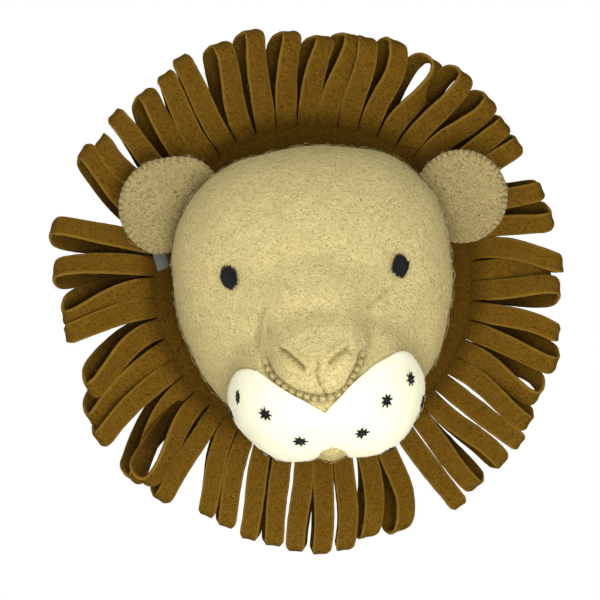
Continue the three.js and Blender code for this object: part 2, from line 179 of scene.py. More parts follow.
# %% Streaks of fibre in one direction
# Each layer: how it is turned, its width in streaks, and from where to where its crests rise
fibre_layers = [((0.2, 0.5, 0.1), 1.0, 0.77, 0.95), ((-0.3, 1.5, 0.2), 1.1, 0.85, 1.00),
                ((0.1, 2.6, -0.3), 1.0, 0.77, 0.95), ((0.3, 1.1, -0.2), 1.1, 0.85, 1.00),
                ((-0.2, 2.1, 0.3), 0.7, 0.72, 0.92), ((0.0, 3.0, 0.2), 0.8, 0.83, 0.99)]
fibre_stretch = 12


def fibre_layer(board, place, turn, wide, long, seed, low, high):
    """Crests of stretched noise: wide and long are the size of a streak in millimetres."""
    turned = board.add("ShaderNodeVectorRotate", {"rotation_type": "EULER_XYZ"}, {0: place, 4: turn})[0]
    pulled = board.vector("MULTIPLY", turned, (1000 / long, 1000 / wide, 1000 / wide))
    noise = board.noise(pulled, 1.0, 0.6, seed)[0]
    return (1 - abs(noise * 2 - 1)).between(low, high)


# %% One kind of felt
def felt(name, body, light, dark, cloud, streak=0.9, depth=0.8, rim=None, shade=None):
    """body is the dye, light and dark are stray fibres, streak the width of a fibre clump in mm; rim colours
    a painted highlight on cut edges, and shade the painted shade.
    """
    material, board, coordinates = new_material(name)
    place = coordinates[3]
    slow = board.noise(place, 65.0, 1.0)[1]
    bent = board.vector("SCALE", board.vector("SUBTRACT", slow, (0.5, 0.5, 0.5)), 0.009)
    bent = board.vector("ADD", place, bent)
    first, second, third, fourth, fine, finer = [
        fibre_layer(board, bent, turn, wide * streak, fibre_stretch * wide * streak, 3.0 * k, low, high)
        for k, (turn, wide, low, high) in enumerate(fibre_layers)
    ]
    patch = board.noise(place, 38.0, 3.0)[0]
    speck = board.noise(place, 900 / streak)[0]
    clump = board.noise(bent, 420 / streak)[0]
    tone = board.blend(patch.between(0.35, 0.7) * cloud, body, dark)
    for share, strength, fibre in (
            (clump.between(0.5, 0.68), 0.5, light), ((1 - clump).between(0.5, 0.68), 0.6, dark),
            ((1 - speck).between(0.5, 0.75), 0.4, dark), (second, 1, dark), (first, 1, light),
            (fourth, 1, dark), (third, 1, light), (finer, 0.7, dark), (fine, 1, light)):
        tone = board.blend(share * depth * strength, tone, fibre)
    # Painted highlight along the mane's cut edges
    if rim is not None:
        painted_edge_highlight = board.add("ShaderNodeAttribute", {"attribute_name": "rim"})[2]
        tone = board.blend(painted_edge_highlight.between(0.70, 1.0) * 0.6, tone, rim)
    # Painted shade: the attribute deep multiplies the tone towards the shade colour
    if shade is not None:
        deep = board.add("ShaderNodeAttribute", {"attribute_name": "deep"})[2]
        tone = board.blend(deep, tone, board.blend(0.95, tone, shade, "MULTIPLY"))
    height = (first + third - second) * 0.5 + fine * 0.25 + speck * 0.6
    return finish_material(material, board, tone, (height, 0.55, 0.0005), 0.95, 0.03)


# %% Wool thread and loose fibres
def wool(name, dark, light, shine=0.1, grain=0.5):
    """Thread or loose fibre: its tone varies from strand to strand, by the attribute shade."""
    material, board, coordinates = new_material(name)
    strand = board.add("ShaderNodeAttribute", {"attribute_name": "shade"})[2]
    noise = board.noise(coordinates[3], 1500.0)[0]
    tone = board.blend(strand * (1 - grain) + noise.between(0.3, 0.7) * grain, dark, light)
    material.node_tree.nodes["Principled BSDF"].inputs["Sheen Weight"].default_value = 0.04
    return finish_material(material, board, tone, (noise, 0.4, 0.0002), 0.85, shine)


# %% The felts and wools of this lion
# The shade colours are for painted shade, and the ochre's rim colour is a painted highlight on the mane's
# cut edges
straw_felt = felt("straw_felt", paint(166, 150, 96), paint(213, 197, 138), paint(122, 107, 62), 0.3,
                  shade=paint(126, 106, 64))
ear_felt = felt("ear_felt", paint(127, 113, 70), paint(172, 156, 106), paint(80, 70, 38), 0.5,
                shade=paint(110, 98, 60))
cream_felt = felt("cream_felt", paint(255, 251, 216), paint(255, 254, 230), paint(248, 241, 198), 0.15,
                  depth=0.4)
ochre_felt = felt("ochre_felt", paint(72, 49, 7), paint(116, 84, 22), paint(43, 27, 4), 0.6, streak=0.75,
                  depth=0.85, rim=paint(148, 117, 44), shade=paint(64, 50, 40))
black_wool = wool("black_wool", paint(9, 11, 11), paint(34, 36, 36), shine=0.15)
grey_thread = wool("grey_thread", paint(96, 84, 52), paint(140, 126, 84))
dark_thread = wool("dark_thread", paint(104, 94, 62), paint(152, 140, 100))
yellow_thread = wool("yellow_thread", paint(224, 204, 134), paint(244, 230, 178))
straw_fibre = wool("straw_fibre", paint(186, 170, 118), paint(244, 230, 182), grain=0.1)
ochre_fibre = wool("ochre_fibre", paint(84, 62, 20), paint(170, 138, 66), grain=0.1)
cream_fibre = wool("cream_fibre", paint(238, 232, 205), paint(255, 254, 244), grain=0.1)
print("materials:", len(bpy.data.materials))

# %% [markdown]
# ## The form of the head
# The head is a padded bag of felt. It could be sculpted, but its outline is that of two
# ellipsoids, a skull and a muzzle, joined softly, so a formula gives it: from one point inside
# the head a ray leaves both ellipsoids, and a power mean of the two distances joins them. The
# numbers are those of the CAD source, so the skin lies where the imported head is. All angles of
# the face, in degrees to the right and upwards, are taken from that inner point.

# %% Small shapes of numbers
def smooth(t):
    t = np.clip(t, 0, 1)
    return t * t * (3 - 2 * t)


def bell(t):
    return (1 - np.minimum(1, t * t)) ** 2


def edge(t):
    return 1 / (1 + np.exp(np.clip(t, -60, 60)))


def hump(x, middle, spread, power=2):
    """1 at the middle, and nearly 0 from about twice the spread on."""
    return np.exp(-((x - middle) / spread) ** power)


def run_along(line):
    """How far along a line each of its points lies."""
    return np.r_[0, np.cumsum(np.linalg.norm(np.diff(line, axis=0), axis=1))]


# %% The skin of the head
heart = np.array([0.0, -60.0, -18.0])
skull_middle = np.array([0.0, -47.0, 2.0])
skull_front, skull_back = np.array([81, 62, 80]), np.array([81, 88, 80])
muzzle_middle, muzzle_radii = np.array([2.4, -84.0, -51.5]), np.array([49, 47, 41.5])
# Where the stuffing pushes the outline out: the angle round it, the spread, and the share
full_places = [(47, 42, .10), (-50, 40, .075), (128, 24, .05), (-133, 24, .05),
               (153, 26, .06), (-156, 26, .06)]


def exit_distance(way, middle, radii):
    start, aim = (heart - middle) / radii, way / radii
    a, b, c = (aim * aim).sum(-1), (aim * start).sum(-1), start @ start - 1
    return (np.sqrt(b * b - a * c) - b) / a


def skin(ahead, clock):
    """A point of the skin: its angle from straight ahead, and clockwise from the top, in degrees."""
    t, c = np.radians(ahead), np.radians(clock)
    way = np.stack([np.sin(t) * np.sin(c), -np.cos(t), np.sin(t) * np.cos(c)], -1)
    front, back = [exit_distance(way, skull_middle, radii) for radii in (skull_front, skull_back)]
    skull = np.where(heart[1] + way[..., 1] * front > skull_middle[1], back, front)
    muzzle = exit_distance(way, muzzle_middle, muzzle_radii)
    point = heart + way * ((skull ** 8 + muzzle ** 8) ** (1 / 8))[..., None]
    x, z = point[..., 0], point[..., 2] - 2
    around = np.degrees(np.arctan2(x, z))
    push = 1 + sum(share * bell((around - middle) / spread) for middle, spread, share in full_places) \
        * np.minimum(np.hypot(x, z) / 81, 1.15) ** 3
    x, z = x * push, 2 + z * push
    aside = np.abs(x + 2.5) / 25
    bridge = 10 * edge((aside - 1) * 25 / 2.2) * smooth((8 - z) / 42) \
        * edge((-58.8 - z + 12.5 * aside ** 2) / 2.2) * smooth((-point[..., 1] - 70) / 30)
    filled = 9 * bell((z + 6 + 20 * (x / 49) ** 2) / 27) * bell(x / 62) * smooth((-point[..., 1] - 47) / 31)
    return np.stack([x, point[..., 1] - bridge - filled, z], -1)


# %% A point on the face, lifted off the skin
def stuffing(point):
    """Gentle lumps of the filling, in millimetres, between about -0.8 and 0.8."""
    x, y, z = point[..., 0], point[..., 1], point[..., 2]
    return (0.38 * np.sin(x / 12.1 + 1.3) * np.sin(z / 14.3 + 0.7)
            + 0.26 * np.sin(x / 7.3 - z / 9.1 + y / 16.0)
            + 0.16 * np.sin(x / 4.4 + z / 5.2 + 2.0) * np.sin(y / 6.1 - z / 7.7))


def on_face(right, up, lift=0.0):
    """Points of the skin at face angles, with the outward normals there."""
    def at(a, b):
        return skin(np.hypot(a, b), np.degrees(np.arctan2(a, b)))
    right, up = np.broadcast_arrays(np.asarray(right, float), np.asarray(up, float))
    point = at(right, up)
    normal = np.cross(at(right + .5, up) - point, at(right, up + .5) - point)
    normal /= np.linalg.norm(normal, axis=-1, keepdims=True)
    normal *= np.where(((point - heart) * normal).sum(-1, keepdims=True) < 0, -1, 1)
    return point + normal * (np.asarray(lift) + stuffing(point))[..., None], normal


def rim_angle(clock, depth):
    """How far round from straight ahead the skin comes down to a depth."""
    low, high = np.full(np.shape(clock), 60.0), np.full(np.shape(clock), 178.0)
    for _ in range(30):
        middle = (low + high) / 2
        above = -skin(middle, clock)[..., 1] > depth
        low, high = np.where(above, middle, low), np.where(above, high, middle)
    return low


print("nose tip in mm:", np.round(skin(np.array(20.0), np.array(180.0)), 1))

# %% [markdown]
# ## Lines and shells
# Seams, folds and outlines are all lines through a few measured points. A centripetal
# Catmull-Rom curve passes through them without loops, as the CAD source's curve does. Closed
# forms are shells: rings of points with the same count, joined row by row, with a fan at each
# end. Whatever way a shell was wound, its volume tells if it is inside out.

# %% A flowing line through a few points
def flowing_line(corners, count):
    """The centripetal curve through the corners, at equal steps of its parameter."""
    p = np.asarray(corners, float)
    p = np.vstack([2 * p[0] - p[1], p, 2 * p[-1] - p[-2]])
    steps = np.linspace(0, len(p) - 3, count + 1)
    index = np.minimum(steps.astype(int), len(p) - 4)
    t = (steps - index)[:, None]
    a, b, c, d = p[index], p[index + 1], p[index + 2], p[index + 3]
    gaps = [np.sqrt(np.linalg.norm(v - u, axis=1, keepdims=True)) for u, v in ((a, b), (b, c), (c, d))]
    start = ((b - a) / gaps[0] - (c - a) / (gaps[0] + gaps[1]) + (c - b) / gaps[1]) * gaps[1]
    end = ((c - b) / gaps[1] - (d - b) / (gaps[1] + gaps[2]) + (d - c) / gaps[2]) * gaps[1]
    return b + start * t + (3 * (c - b) - 2 * start - end) * t ** 2 + (2 * (b - c) + start + end) * t ** 3


def evenly(line, spacing):
    """Points on a line at an even spacing, and the direction of the line at each."""
    line = np.asarray(line, float)
    length = run_along(line)
    count = max(2, int(round(length[-1] / spacing)))
    at = (np.arange(count) + 0.5) * length[-1] / count
    place = np.stack([np.interp(at, length, column) for column in line.T], 1)
    ahead = np.stack([np.interp(at + 0.05 * spacing, length, column) for column in line.T], 1)
    return place, (ahead - place) / np.linalg.norm(ahead - place, axis=1, keepdims=True)


def beside_line(points, line):
    """Distance of each point from a line in the picture plane, signed, and how far along it is."""
    line = np.asarray(line, float)
    start, way = line[:-1], np.diff(line, axis=0)
    length = np.linalg.norm(way, axis=1)
    away = points[:, None, :] - start[None]
    share = np.clip((away * way).sum(-1) / length ** 2, 0, 1)
    gap = away - share[..., None] * way
    distance = np.linalg.norm(gap, axis=-1)
    best = distance.argmin(1)
    rows = np.arange(len(points))
    side = np.sign(way[best, 0] * gap[rows, best, 1] - way[best, 1] * gap[rows, best, 0])
    run = np.r_[0, np.cumsum(length)][best] + share[rows, best] * length[best]
    return distance[rows, best] * np.where(side == 0, 1, side), run, length.sum()


# %% Meshes and finished pieces
def measure(mesh):
    """Surface in square metres and enclosed volume in cubic metres."""
    mesh.calc_loop_triangles()
    points, corners = np.zeros(3 * len(mesh.vertices)), np.zeros(3 * len(mesh.loop_triangles), int)
    mesh.vertices.foreach_get("co", points)
    mesh.loop_triangles.foreach_get("vertices", corners)
    a, b, c = np.moveaxis(points.reshape(-1, 3)[corners.reshape(-1, 3)], 1, 0)
    across = np.cross(b - a, c - a)
    return np.linalg.norm(across, axis=1).sum() / 2, (a * across).sum() / 6


def shell(name, rings, start, end):
    """A closed mesh through rings of points in millimetres, wound so that it faces outwards."""
    rings = np.asarray(rings)
    rows, count = rings.shape[:2]
    points = np.vstack([rings.reshape(-1, 3), start, end]) * 0.001
    k = np.arange(count)
    following = (k + 1) % count
    faces = []
    for row in range(rows - 1):
        faces += np.stack([row * count + k, row * count + following, (row + 1) * count + following,
                           (row + 1) * count + k], 1).tolist()
    last = (rows - 1) * count
    faces += np.stack([np.full(count, rows * count), following, k], 1).tolist()
    faces += np.stack([np.full(count, rows * count + 1), last + k, last + following], 1).tolist()
    mesh = bpy.data.meshes.new(name)
    mesh.from_pydata(points.tolist(), [], faces)
    if measure(mesh)[1] < 0:
        mesh.flip_normals()
    mesh.shade_smooth()
    return mesh


def finished(name, mesh, material, slot=None, stands_for=()):
    """A piece of the lion: a mesh at the origin that rides on the object's one body."""
    if material is not None:
        mesh.materials.clear()
        mesh.materials.append(material)
    piece = bpy.data.objects.new(name, mesh)
    bpy.context.scene.collection.objects.link(piece)
    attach(piece, "root")
    if stands_for:
        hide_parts(*stands_for)
    surface, volume = measure(mesh)
    print(f"{name}: {len(mesh.loop_triangles)} triangles, surface {surface:.4f} m2,",
          f"volume {1e6 * volume:.0f} cm3")
    return piece


# %% [markdown]
# ## The head
# On the real head the felt is drawn in by thread: a fold for each nostril, a stitched groove
# that runs in a U under the nose, and a hollow round each eye. A mesh this fine could be carved
# with sculpt brushes, but a displacement along the normals by the distance from a few measured
# lines gives the same folds, and it can be read and changed. The felt puckers between the
# stitches of the U, so its groove is a row of little lumps.

# %% Lines that are sewn into the nose, across and up in the picture plane
nostril_left = flowing_line([[-24.4, -30.0], [-18.5, -33.6], [-13.3, -38.4], [-8.8, -43.6]], 14)
nostril_right = flowing_line([[15.5, -32.0], [10.5, -34.6], [5.7, -37.8], [1.4, -41.6]], 14)
under_nose = flowing_line([[-30.3, -34.1], [-29.2, -40.6], [-26.8, -45.8], [-22.6, -50.4], [-17.5, -54.2],
                           [-12.8, -56.4], [-7.1, -58.2], [-1.8, -59.1], [3.1, -58.8], [7.8, -57.2],
                           [11.7, -54.2], [14.2, -49.4], [17.6, -44.3], [20.1, -39.3], [22.7, -33.5]], 70)
philtrum = flowing_line([[-2.6, -39.1], [-3.2, -43.5], [-4.2, -46.5], [-2.8, -50.4], [-1.2, -55.3],
                         [0.9, -59.2]], 14)
bridge_left = flowing_line([[-24.0, -2.0], [-28.4, -14.0], [-31.4, -27.0], [-30.7, -33.5]], 14)
bridge_right = flowing_line([[26.4, -9.0], [25.4, -18.0], [23.6, -30.8], [21.7, -34.5]], 14)
eye_crease = flowing_line([[25.4, -14.5], [35.7, -7.6], [46.9, 0.5]], 10)
groove_length = np.linalg.norm(np.diff(under_nose, axis=0), axis=1).sum()
groove_stitches = int(round(groove_length / 4.1))
stitch_step = groove_length / groove_stitches


# %% The folds of the face
def folds(point):
    """How far the thread draws the felt in, in mm along the normal, and how much painted shade each point
    gets.
    """
    flat = point[:, [0, 2]]
    lift, deep = np.zeros(len(point)), np.zeros(len(point))

    def beside(line, near, first, last):
        """The points near a line: their distance from it, how far along it, and a fade at its ends."""
        away, run, length = beside_line(flat[near], line)
        return away, run, length, smooth(run / first) * smooth((length - run) / last)

    near = np.flatnonzero((point[:, 1] < -95) & (np.abs(flat[:, 0]) < 42) & (np.abs(flat[:, 1] + 42) < 30))
    for line, upper, strength in ((nostril_left, 1, 1.0), (nostril_right, -1, 0.75)):
        away, run, length, fade = beside(line, near, 3, 3)
        below = -away * upper
        pocket = smooth((below + 0.5) / 0.9) * hump(np.maximum(below, 0), 0, 2.2)
        lift[near] += fade * (0.9 * hump(below, -2.0, 1.8) - 2.2 * pocket)
        # Painted shade under the nostril's upper lip, weaker on the right
        deep[near] += fade ** 0.5 * (0.8 * hump(below, 0.4, 0.6) + 0.3 * hump(below, 1.4, 1.3)) * strength
    away, run, length, fade = beside(under_nose, near, 5, 5)
    pucker = (0.5 + 0.5 * np.cos(2 * math.pi * run / stitch_step)) ** 0.7
    drawn = -1.6 * hump(away, 0, 0.9) - 1.3 * hump(away, -3.6, 0.9)
    lift[near] += fade * (drawn + 0.9 * (pucker - 0.6) * hump(away, -1.8, 1.4))
    # Painted shade along the groove and in the gaps between the puckers
    rung = (1 - pucker) ** 2 * hump(away, -1.8, 1.5, 4)
    deep[near] += fade * (0.75 * hump(away, 0, 0.7) + 0.45 * hump(away, -3.7, 0.7) + 0.85 * rung)
    away, run, length = beside_line(flat[near], philtrum)
    lift[near] -= 0.9 * hump(away, 0, 1.2) * smooth(run / 2)
    # Painted shade along the philtrum
    deep[near] += 0.35 * hump(away, 0, 0.8)

    near = np.flatnonzero((point[:, 1] < -70) & (np.abs(flat[:, 0]) < 60) & (np.abs(flat[:, 1] + 20) < 40))
    for line, outer in ((bridge_left, -1), (bridge_right, 1)):
        away, run, length, fade = beside(line, near, 22, 5)
        chord = np.interp(run, [0, length], line[[0, -1], 0])
        outwards = np.where(flat[near, 0] * outer > chord * outer, 1, -1) * abs(away)
        lift[near] += fade * (0.7 * hump(outwards, 0, 2.2) - 0.6 * hump(outwards, 4.2, 2.4))
        # Painted shade beside the nose bridge
        deep[near] += 0.12 * fade * hump(outwards, 3.6, 1.8)
    away, run, length, fade = beside(eye_crease, near, 4, 8)
    lift[near] -= 0.8 * hump(away, 0, 1.5) * fade
    # Painted shade in the crease by the eye
    deep[near] += 0.28 * hump(away, 0, 1.2) * fade

    for side in (-1, 1):
        away = np.hypot(flat[:, 0] - side * 47.8, flat[:, 1] - 8.5)
        lift -= np.where(point[:, 1] < -60, 1.3 * hump(away, 0, 8.5), 0)
        # Painted shade in the hollow round each eye
        deep += np.where(point[:, 1] < -60, 0.3 * hump(away, 0, 7.0, 4), 0)
    # Painted shade where the head turns back to meet the mane
    deep += 0.85 * smooth((20 + point[:, 1]) / 12)
    chin = hump(flat[:, 0], 2.5, 8) * smooth((-84 - flat[:, 1]) / 6) * smooth((-point[:, 1] - 60) / 20)
    return lift + 5.0 * chin, np.clip(deep, 0, 1)


# %% The head as one padded piece
columns, rows = 360, 214
clock = np.arange(columns) * 360 / columns
rim = rim_angle(clock, 4.6)
ahead = rim[None] * (np.arange(1, rows + 1) / rows)[:, None] ** 0.95
c = np.radians(clock)[None]
face, face_normal = on_face(ahead * np.sin(c), ahead * np.cos(c))
face = face.reshape(-1, 3)
lift, deep = folds(face)
face += face_normal.reshape(-1, 3) * lift[:, None]
rings = face.reshape(rows, columns, 3)
closing = rings[-1]
inward = closing * np.array([1, 0, 1])
inward /= np.linalg.norm(inward, axis=1, keepdims=True)
turned_in = [closing - inward * step + np.array([0, fall, 0])
             for step, fall in ((0.5, 0.7), (1.6, 1.2), (9, 1.3), (40, 1.3))]
tip, _ = on_face(0.0, 0.0)
head_mesh = shell("head_felt", np.concatenate([rings, turned_in]), tip, [0, -3.3, 0])
# The turned-in rows get full painted shade, the nose tip none
deep = np.r_[deep, np.full(len(head_mesh.vertices) - len(deep), 0.85)].astype(np.float32)
deep[-2] = 0
head_mesh.attributes.new("deep", "FLOAT", "POINT").data.foreach_set("value", deep)
head = finished("head_felt", head_mesh, straw_felt, "straw_felt", ["head"])


# %% Where a line of the picture plane meets a piece
def touch(piece, x, z):
    """The place and the normal where a straight look from the front meets a piece, in mm."""
    hit, place, normal, _ = piece.ray_cast(Vector((x, -400, z)) * 0.001, Vector((0, 1, 0)))
    return (np.array(place) * 1000, np.array(normal)) if hit else None


# %% [markdown]
# ## One tree for every stitch
# The lion is sewn all over: blanket stitch round the ears, small stitches along the muzzle
# patches, bars across the groove under the nose, and black wool for eyes and spots. All of them
# are one thing at different sizes: a short length of two-ply thread that comes out of the felt
# and goes back in. Placing them by hand is slow, and a particle system can't aim them, so a
# geometry-node tree puts a twisted thread on each point of a mesh and turns it by two vectors
# stored there: along the stitch, and out of the felt.

# %% A geometry-node tree with named inputs
def geometry_board(name, floats, others):
    """A new tree with a geometry input and output, and its other inputs by name."""
    tree = bpy.data.node_groups.new(name, "GeometryNodeTree")
    sockets = [("Geometry", "Geometry"), *[(label, "Float") for label in floats], *others]
    for label, kind in [*sockets, ("Material", "Material")]:
        tree.interface.new_socket(name=label, in_out="INPUT", socket_type="NodeSocket" + kind)
    tree.interface.new_socket(name="Geometry", in_out="OUTPUT", socket_type="NodeSocketGeometry")
    board = Board(tree)
    given = board.add("NodeGroupInput")
    names = [item.name for item in tree.interface.items_tree if item.in_out == "INPUT"]
    return board, dict(zip(names, given))


def grown(name, tree, mesh, inputs):
    """The mesh that a tree makes from another mesh. Its modifier is gone once it is made."""
    source = bpy.data.objects.new(name + "_source", mesh)
    bpy.context.scene.collection.objects.link(source)
    modifier = source.modifiers.new("tree", "NODES")
    modifier.node_group = tree
    for item in tree.interface.items_tree:
        if item.in_out == "INPUT" and item.name in inputs:
            modifier[item.identifier] = inputs[item.name]
    evaluated = source.evaluated_get(bpy.context.evaluated_depsgraph_get())
    made = bpy.data.meshes.new_from_object(evaluated)
    made.name = name
    bpy.data.objects.remove(source)
    return made


# %% What the trees share
def attribute(board, name, kind="FLOAT"):
    return board.add("GeometryNodeInputNamedAttribute", {"data_type": kind}, {"Name": name})[0]


def stored(board, geometry, name, value, kind="FLOAT", domain="POINT"):
    return board.add("GeometryNodeStoreNamedAttribute", {"data_type": kind, "domain": domain},
                     {"Geometry": geometry, "Name": name, "Value": value})[0]


def chance(board, low, high, seed):
    return board.add("FunctionNodeRandomValue", {"data_type": "FLOAT"}, {2: low, 3: high, "Seed": seed})[1]


def bent_tube(board, steps, bend, sides, radius, slim=lambda along: 1.0):
    """A tube one unit long. By the share along it, bend gives its offset aside and out, slim its scale."""
    line = board.add("GeometryNodeCurvePrimitiveLine", {}, {"Start": (-0.5, 0, 0), "End": (0.5, 0, 0)})[0]
    line = board.add("GeometryNodeResampleCurve", {}, {"Curve": line, "Count": steps})[0]
    along = board.add("GeometryNodeSplineParameter")[0]
    offset = board.xyz(0.0, *bend(along))
    bent = board.add("GeometryNodeSetPosition", {}, {"Geometry": line, "Offset": offset})[0]
    ring = board.add("GeometryNodeCurvePrimitiveCircle", {}, {"Resolution": sides, "Radius": radius})[0]
    inputs = {"Curve": bent, "Profile Curve": ring, "Scale": slim(along), "Fill Caps": True}
    return board.add("GeometryNodeCurveToMesh", {}, inputs)[0]


def planted(board, inputs, seed):
    """Copies on points, each with a random tone of its own."""
    placed = board.add("GeometryNodeInstanceOnPoints", {}, inputs)[0]
    return stored(board, placed, "shade", chance(board, 0.0, 1.0, seed), domain="INSTANCE")


def closed_tree(board, geometry, material, soft=True):
    """Makes copies real, gives them their material, and ends the tree."""
    real = board.add("GeometryNodeRealizeInstances", {}, {"Geometry": geometry})[0]
    if soft:
        real = board.add("GeometryNodeSetShadeSmooth", {}, {"Geometry": real, "Shade Smooth": True})[0]
    real = board.add("GeometryNodeSetMaterial", {}, {"Geometry": real, "Material": material})[0]
    board.add("NodeGroupOutput", {}, {0: real})
    return board.tree


# %% The stitch tree
def stitch_tree():
    board, given = geometry_board("stitches", ("Thread", "Rise", "Turns", "Point"), [("Seed", "Int")])
    around = given["Thread"] * 0.5

    def ply(phase):
        def bend(along):
            angle = along * given["Turns"] * (2 * math.pi) + phase
            arch = (along * math.pi).math("SINE")
            out = given["Rise"] * (arch ** 0.5) - given["Thread"] * 0.6 + around * angle.math("SINE")
            return around * angle.math("COSINE"), out
        return bent_tube(board, 9, bend, 6, around * 1.1,
                         lambda along: 1 - abs(along * 2 - 1) ** 2.0 * given["Point"])

    thread = board.add("GeometryNodeJoinGeometry", {}, {0: [ply(0.0), ply(math.pi)]})[0]
    along, out = [attribute(board, label, "FLOAT_VECTOR") for label in ("along", "out")]
    length, stout = attribute(board, "length"), attribute(board, "stout")
    turn = board.add("FunctionNodeAxesToRotation", {"primary_axis": "Z", "secondary_axis": "X"},
                     {0: out, 1: along})[0]
    placed = planted(board, {"Points": given["Geometry"], "Instance": thread, "Rotation": turn,
                             "Scale": board.xyz(length, stout, stout)}, given["Seed"])
    return closed_tree(board, placed, given["Material"])


stitches = stitch_tree()


# %% Sewing with the tree
def sewn(name, rows, thread, rise, turns, material, slot=None, stands_for=(), point=0.4):
    """Each row is place, along, out, length and stoutness: millimetres, and plain vectors."""
    mesh = bpy.data.meshes.new(name)
    mesh.from_pydata([tuple(np.asarray(row[0]) * 0.001) for row in rows], [], [])
    for column, label in enumerate(("along", "out", "length", "stout"), 1):
        kind, key = ("FLOAT_VECTOR", "vector") if column < 3 else ("FLOAT", "value")
        numbers = np.array([row[column] for row in rows], np.float32) * (0.001 if label == "length" else 1)
        mesh.attributes.new(label, kind, "POINT").data.foreach_set(key, numbers.ravel())
    inputs = {"Thread": thread * 0.001, "Rise": rise * 0.001, "Turns": turns, "Point": point, "Seed": 1,
              "Material": material}
    return finished(name, grown(name, stitches, mesh, inputs), None, slot, stands_for)


# %% Thread in the nose
rng = np.random.default_rng(7)
rows = []
for k, ((x, z), way) in enumerate(zip(*evenly(under_nose, stitch_step))):
    outer = np.array([way[1], -way[0]])
    if 2 <= k < groove_stitches - 1:
        x, z = np.array([x, z]) + outer * rng.uniform(1.3, 2.2)
        place, out = touch(head, x, z)
        across = np.array([outer[0], 0, outer[1]]) + 0.2 * rng.standard_normal(3)
        rows.append((place, across, out, rng.uniform(2.8, 4.2), rng.uniform(0.9, 1.5)))
for (x, z), way in zip(*evenly(under_nose, 2.4)):
    place, out = touch(head, x, z)
    along = np.array([way[0], 0, way[1]]) + 0.1 * rng.standard_normal(3)
    rows.append((place, along, out, 2.6, rng.uniform(0.3, 0.6)))
for (x, z), way in zip(*evenly(philtrum, 3.2)):
    place, out = touch(head, x, z)
    rows.append((place, np.array([way[0], 0, way[1]]) + 0.25 * rng.standard_normal(3), out, 3.4, 0.7))
sewn("nose_stitches", rows, 0.45, 0.1, 1.5, grey_thread)

# %% [markdown]
# ## The cream muzzle
# Two patches of thick cream felt lie over the muzzle, cut to its curve and sewn down at the
# edge. Each one is the skin of the head again, lifted by the felt's thickness inside an outline,
# so it follows every rise below it. Its cut edge is rounded, and it dips a little at each
# stitch. A boolean cut of a thick shell would do it too, but it leaves a ragged edge with no
# rings to shape.

# %% The outlines, as angles on the face
patch_corners = {
    "left": [[-0.4, -36.2], [-9.4, -30.4], [-18.5, -26], [-29, -22.5], [-38, -22.6], [-47, -26.5],
             [-53, -36], [-55, -50], [-49, -67], [-36, -80], [-20, -83], [-9, -74], [-4.5, -62],
             [-1.5, -56.5], [2, -54]],
    "right": [[-0.4, -36.2], [4.5, -31.4], [10.8, -26], [18.5, -21.8], [28, -19.6], [38, -18.7],
              [46.5, -21.4], [52, -30], [55, -45], [51, -62], [40, -77], [23, -83], [13, -74], [8.5, -62],
              [5, -56.5], [2, -54]],
}
patch_middle = {"left": np.array([-25, -50]), "right": np.array([27, -50])}
patch_felt, air, patch_stitch = 2.4, 0.3, 3.4


def patch_outline(side):
    """The outline, how close each point is to the seam in the middle, and the way along the rim in mm."""
    shift = -0.02 if side == "left" else 0.02
    curve = flowing_line(patch_corners[side], 34 * 8)
    seam = np.linspace(curve[-1], curve[0], 26)[1:-1]
    butted = np.r_[np.zeros(len(curve)), smooth(np.minimum(np.arange(1, 25), np.arange(24, 0, -1)) / 3)]
    outline = np.vstack([curve, seam]) + [shift, 0]
    return outline, butted, run_along(on_face(outline[:, 0], outline[:, 1], 1.2)[0])


# %% A patch
# Share of the way from the middle to the rim, and share of the felt's thickness
patch_section = [(s, 1.0) for s in np.linspace(0.05, 0.9, 22)] + [
    (0.93, .99), (0.955, .95), (0.972, .88), (0.985, .77), (0.994, .62), (1.0, .42), (1.0, .2), (0.995, .04),
    (0.95, 0.0), (0.6, 0.0), (0.25, 0.0)]


def muzzle_patch(side):
    outline, butted, run = patch_outline(side)
    middle = patch_middle[side]
    dip = (0.5 + 0.5 * np.cos(2 * math.pi * run / patch_stitch)) * (1 - 0.6 * butted)
    rings = []
    for share, height in patch_section:
        spot = middle + (outline - middle) * share
        if height > 0.3:
            height = height + (0.96 - height) * butted
        pulled = 0.3 * dip * math.exp(-((share - 0.965) / 0.025) ** 2)
        rings.append(on_face(spot[:, 0], spot[:, 1], air + patch_felt * height - pulled)[0])
    top, bottom = on_face(*middle, air + patch_felt)[0], on_face(*middle, air)[0]
    name = f"muzzle_{side}_felt"
    return finished(name, shell(name, rings, top, bottom), cream_felt, "cream_felt", ["muzzle_" + side])


muzzle_left, muzzle_right = muzzle_patch("left"), muzzle_patch("right")


# %% The small stitches that hold the patches
def patch_stitches(side):
    outline, _, run = patch_outline(side)
    middle = patch_middle[side]
    rows = []
    for k in np.searchsorted(run, np.arange(patch_stitch, run[-1], patch_stitch)):
        corner = outline[min(k, len(outline) - 1)]
        place, out = on_face(*(middle + (corner - middle) * 0.965), air + patch_felt * 0.78)
        rows.append((place, on_face(*corner, 1.5)[0] - place, out, 1.7, rng.uniform(0.6, 1.1)))
    return rows


sewn("muzzle_stitches", patch_stitches("left") + patch_stitches("right"), 0.36, 0.15, 1.5,
     yellow_thread, "cream_felt")

# %% [markdown]
# ## Eyes and whisker spots
# They are embroidered in black wool: each eye is satin stitch, thick threads side by side over a
# low pad, and each spot is a star of short stitches that meet in the middle. A black disc would
# be quicker, but the ends of the threads are what gives the stars their points and the eyes
# their lumpy rim. The same stitch tree makes both.

# %% Local directions on the face
def face_axes(right, up, lift):
    """A place on the face, the directions to the right and upwards along the skin, and out of it."""
    place, out = on_face(right, up, lift)
    higher, _ = on_face(right, up + 1, lift)
    upwards = higher - place
    upwards -= out * (upwards @ out)
    upwards /= np.linalg.norm(upwards)
    return place, np.cross(upwards, out) * -1, upwards, out


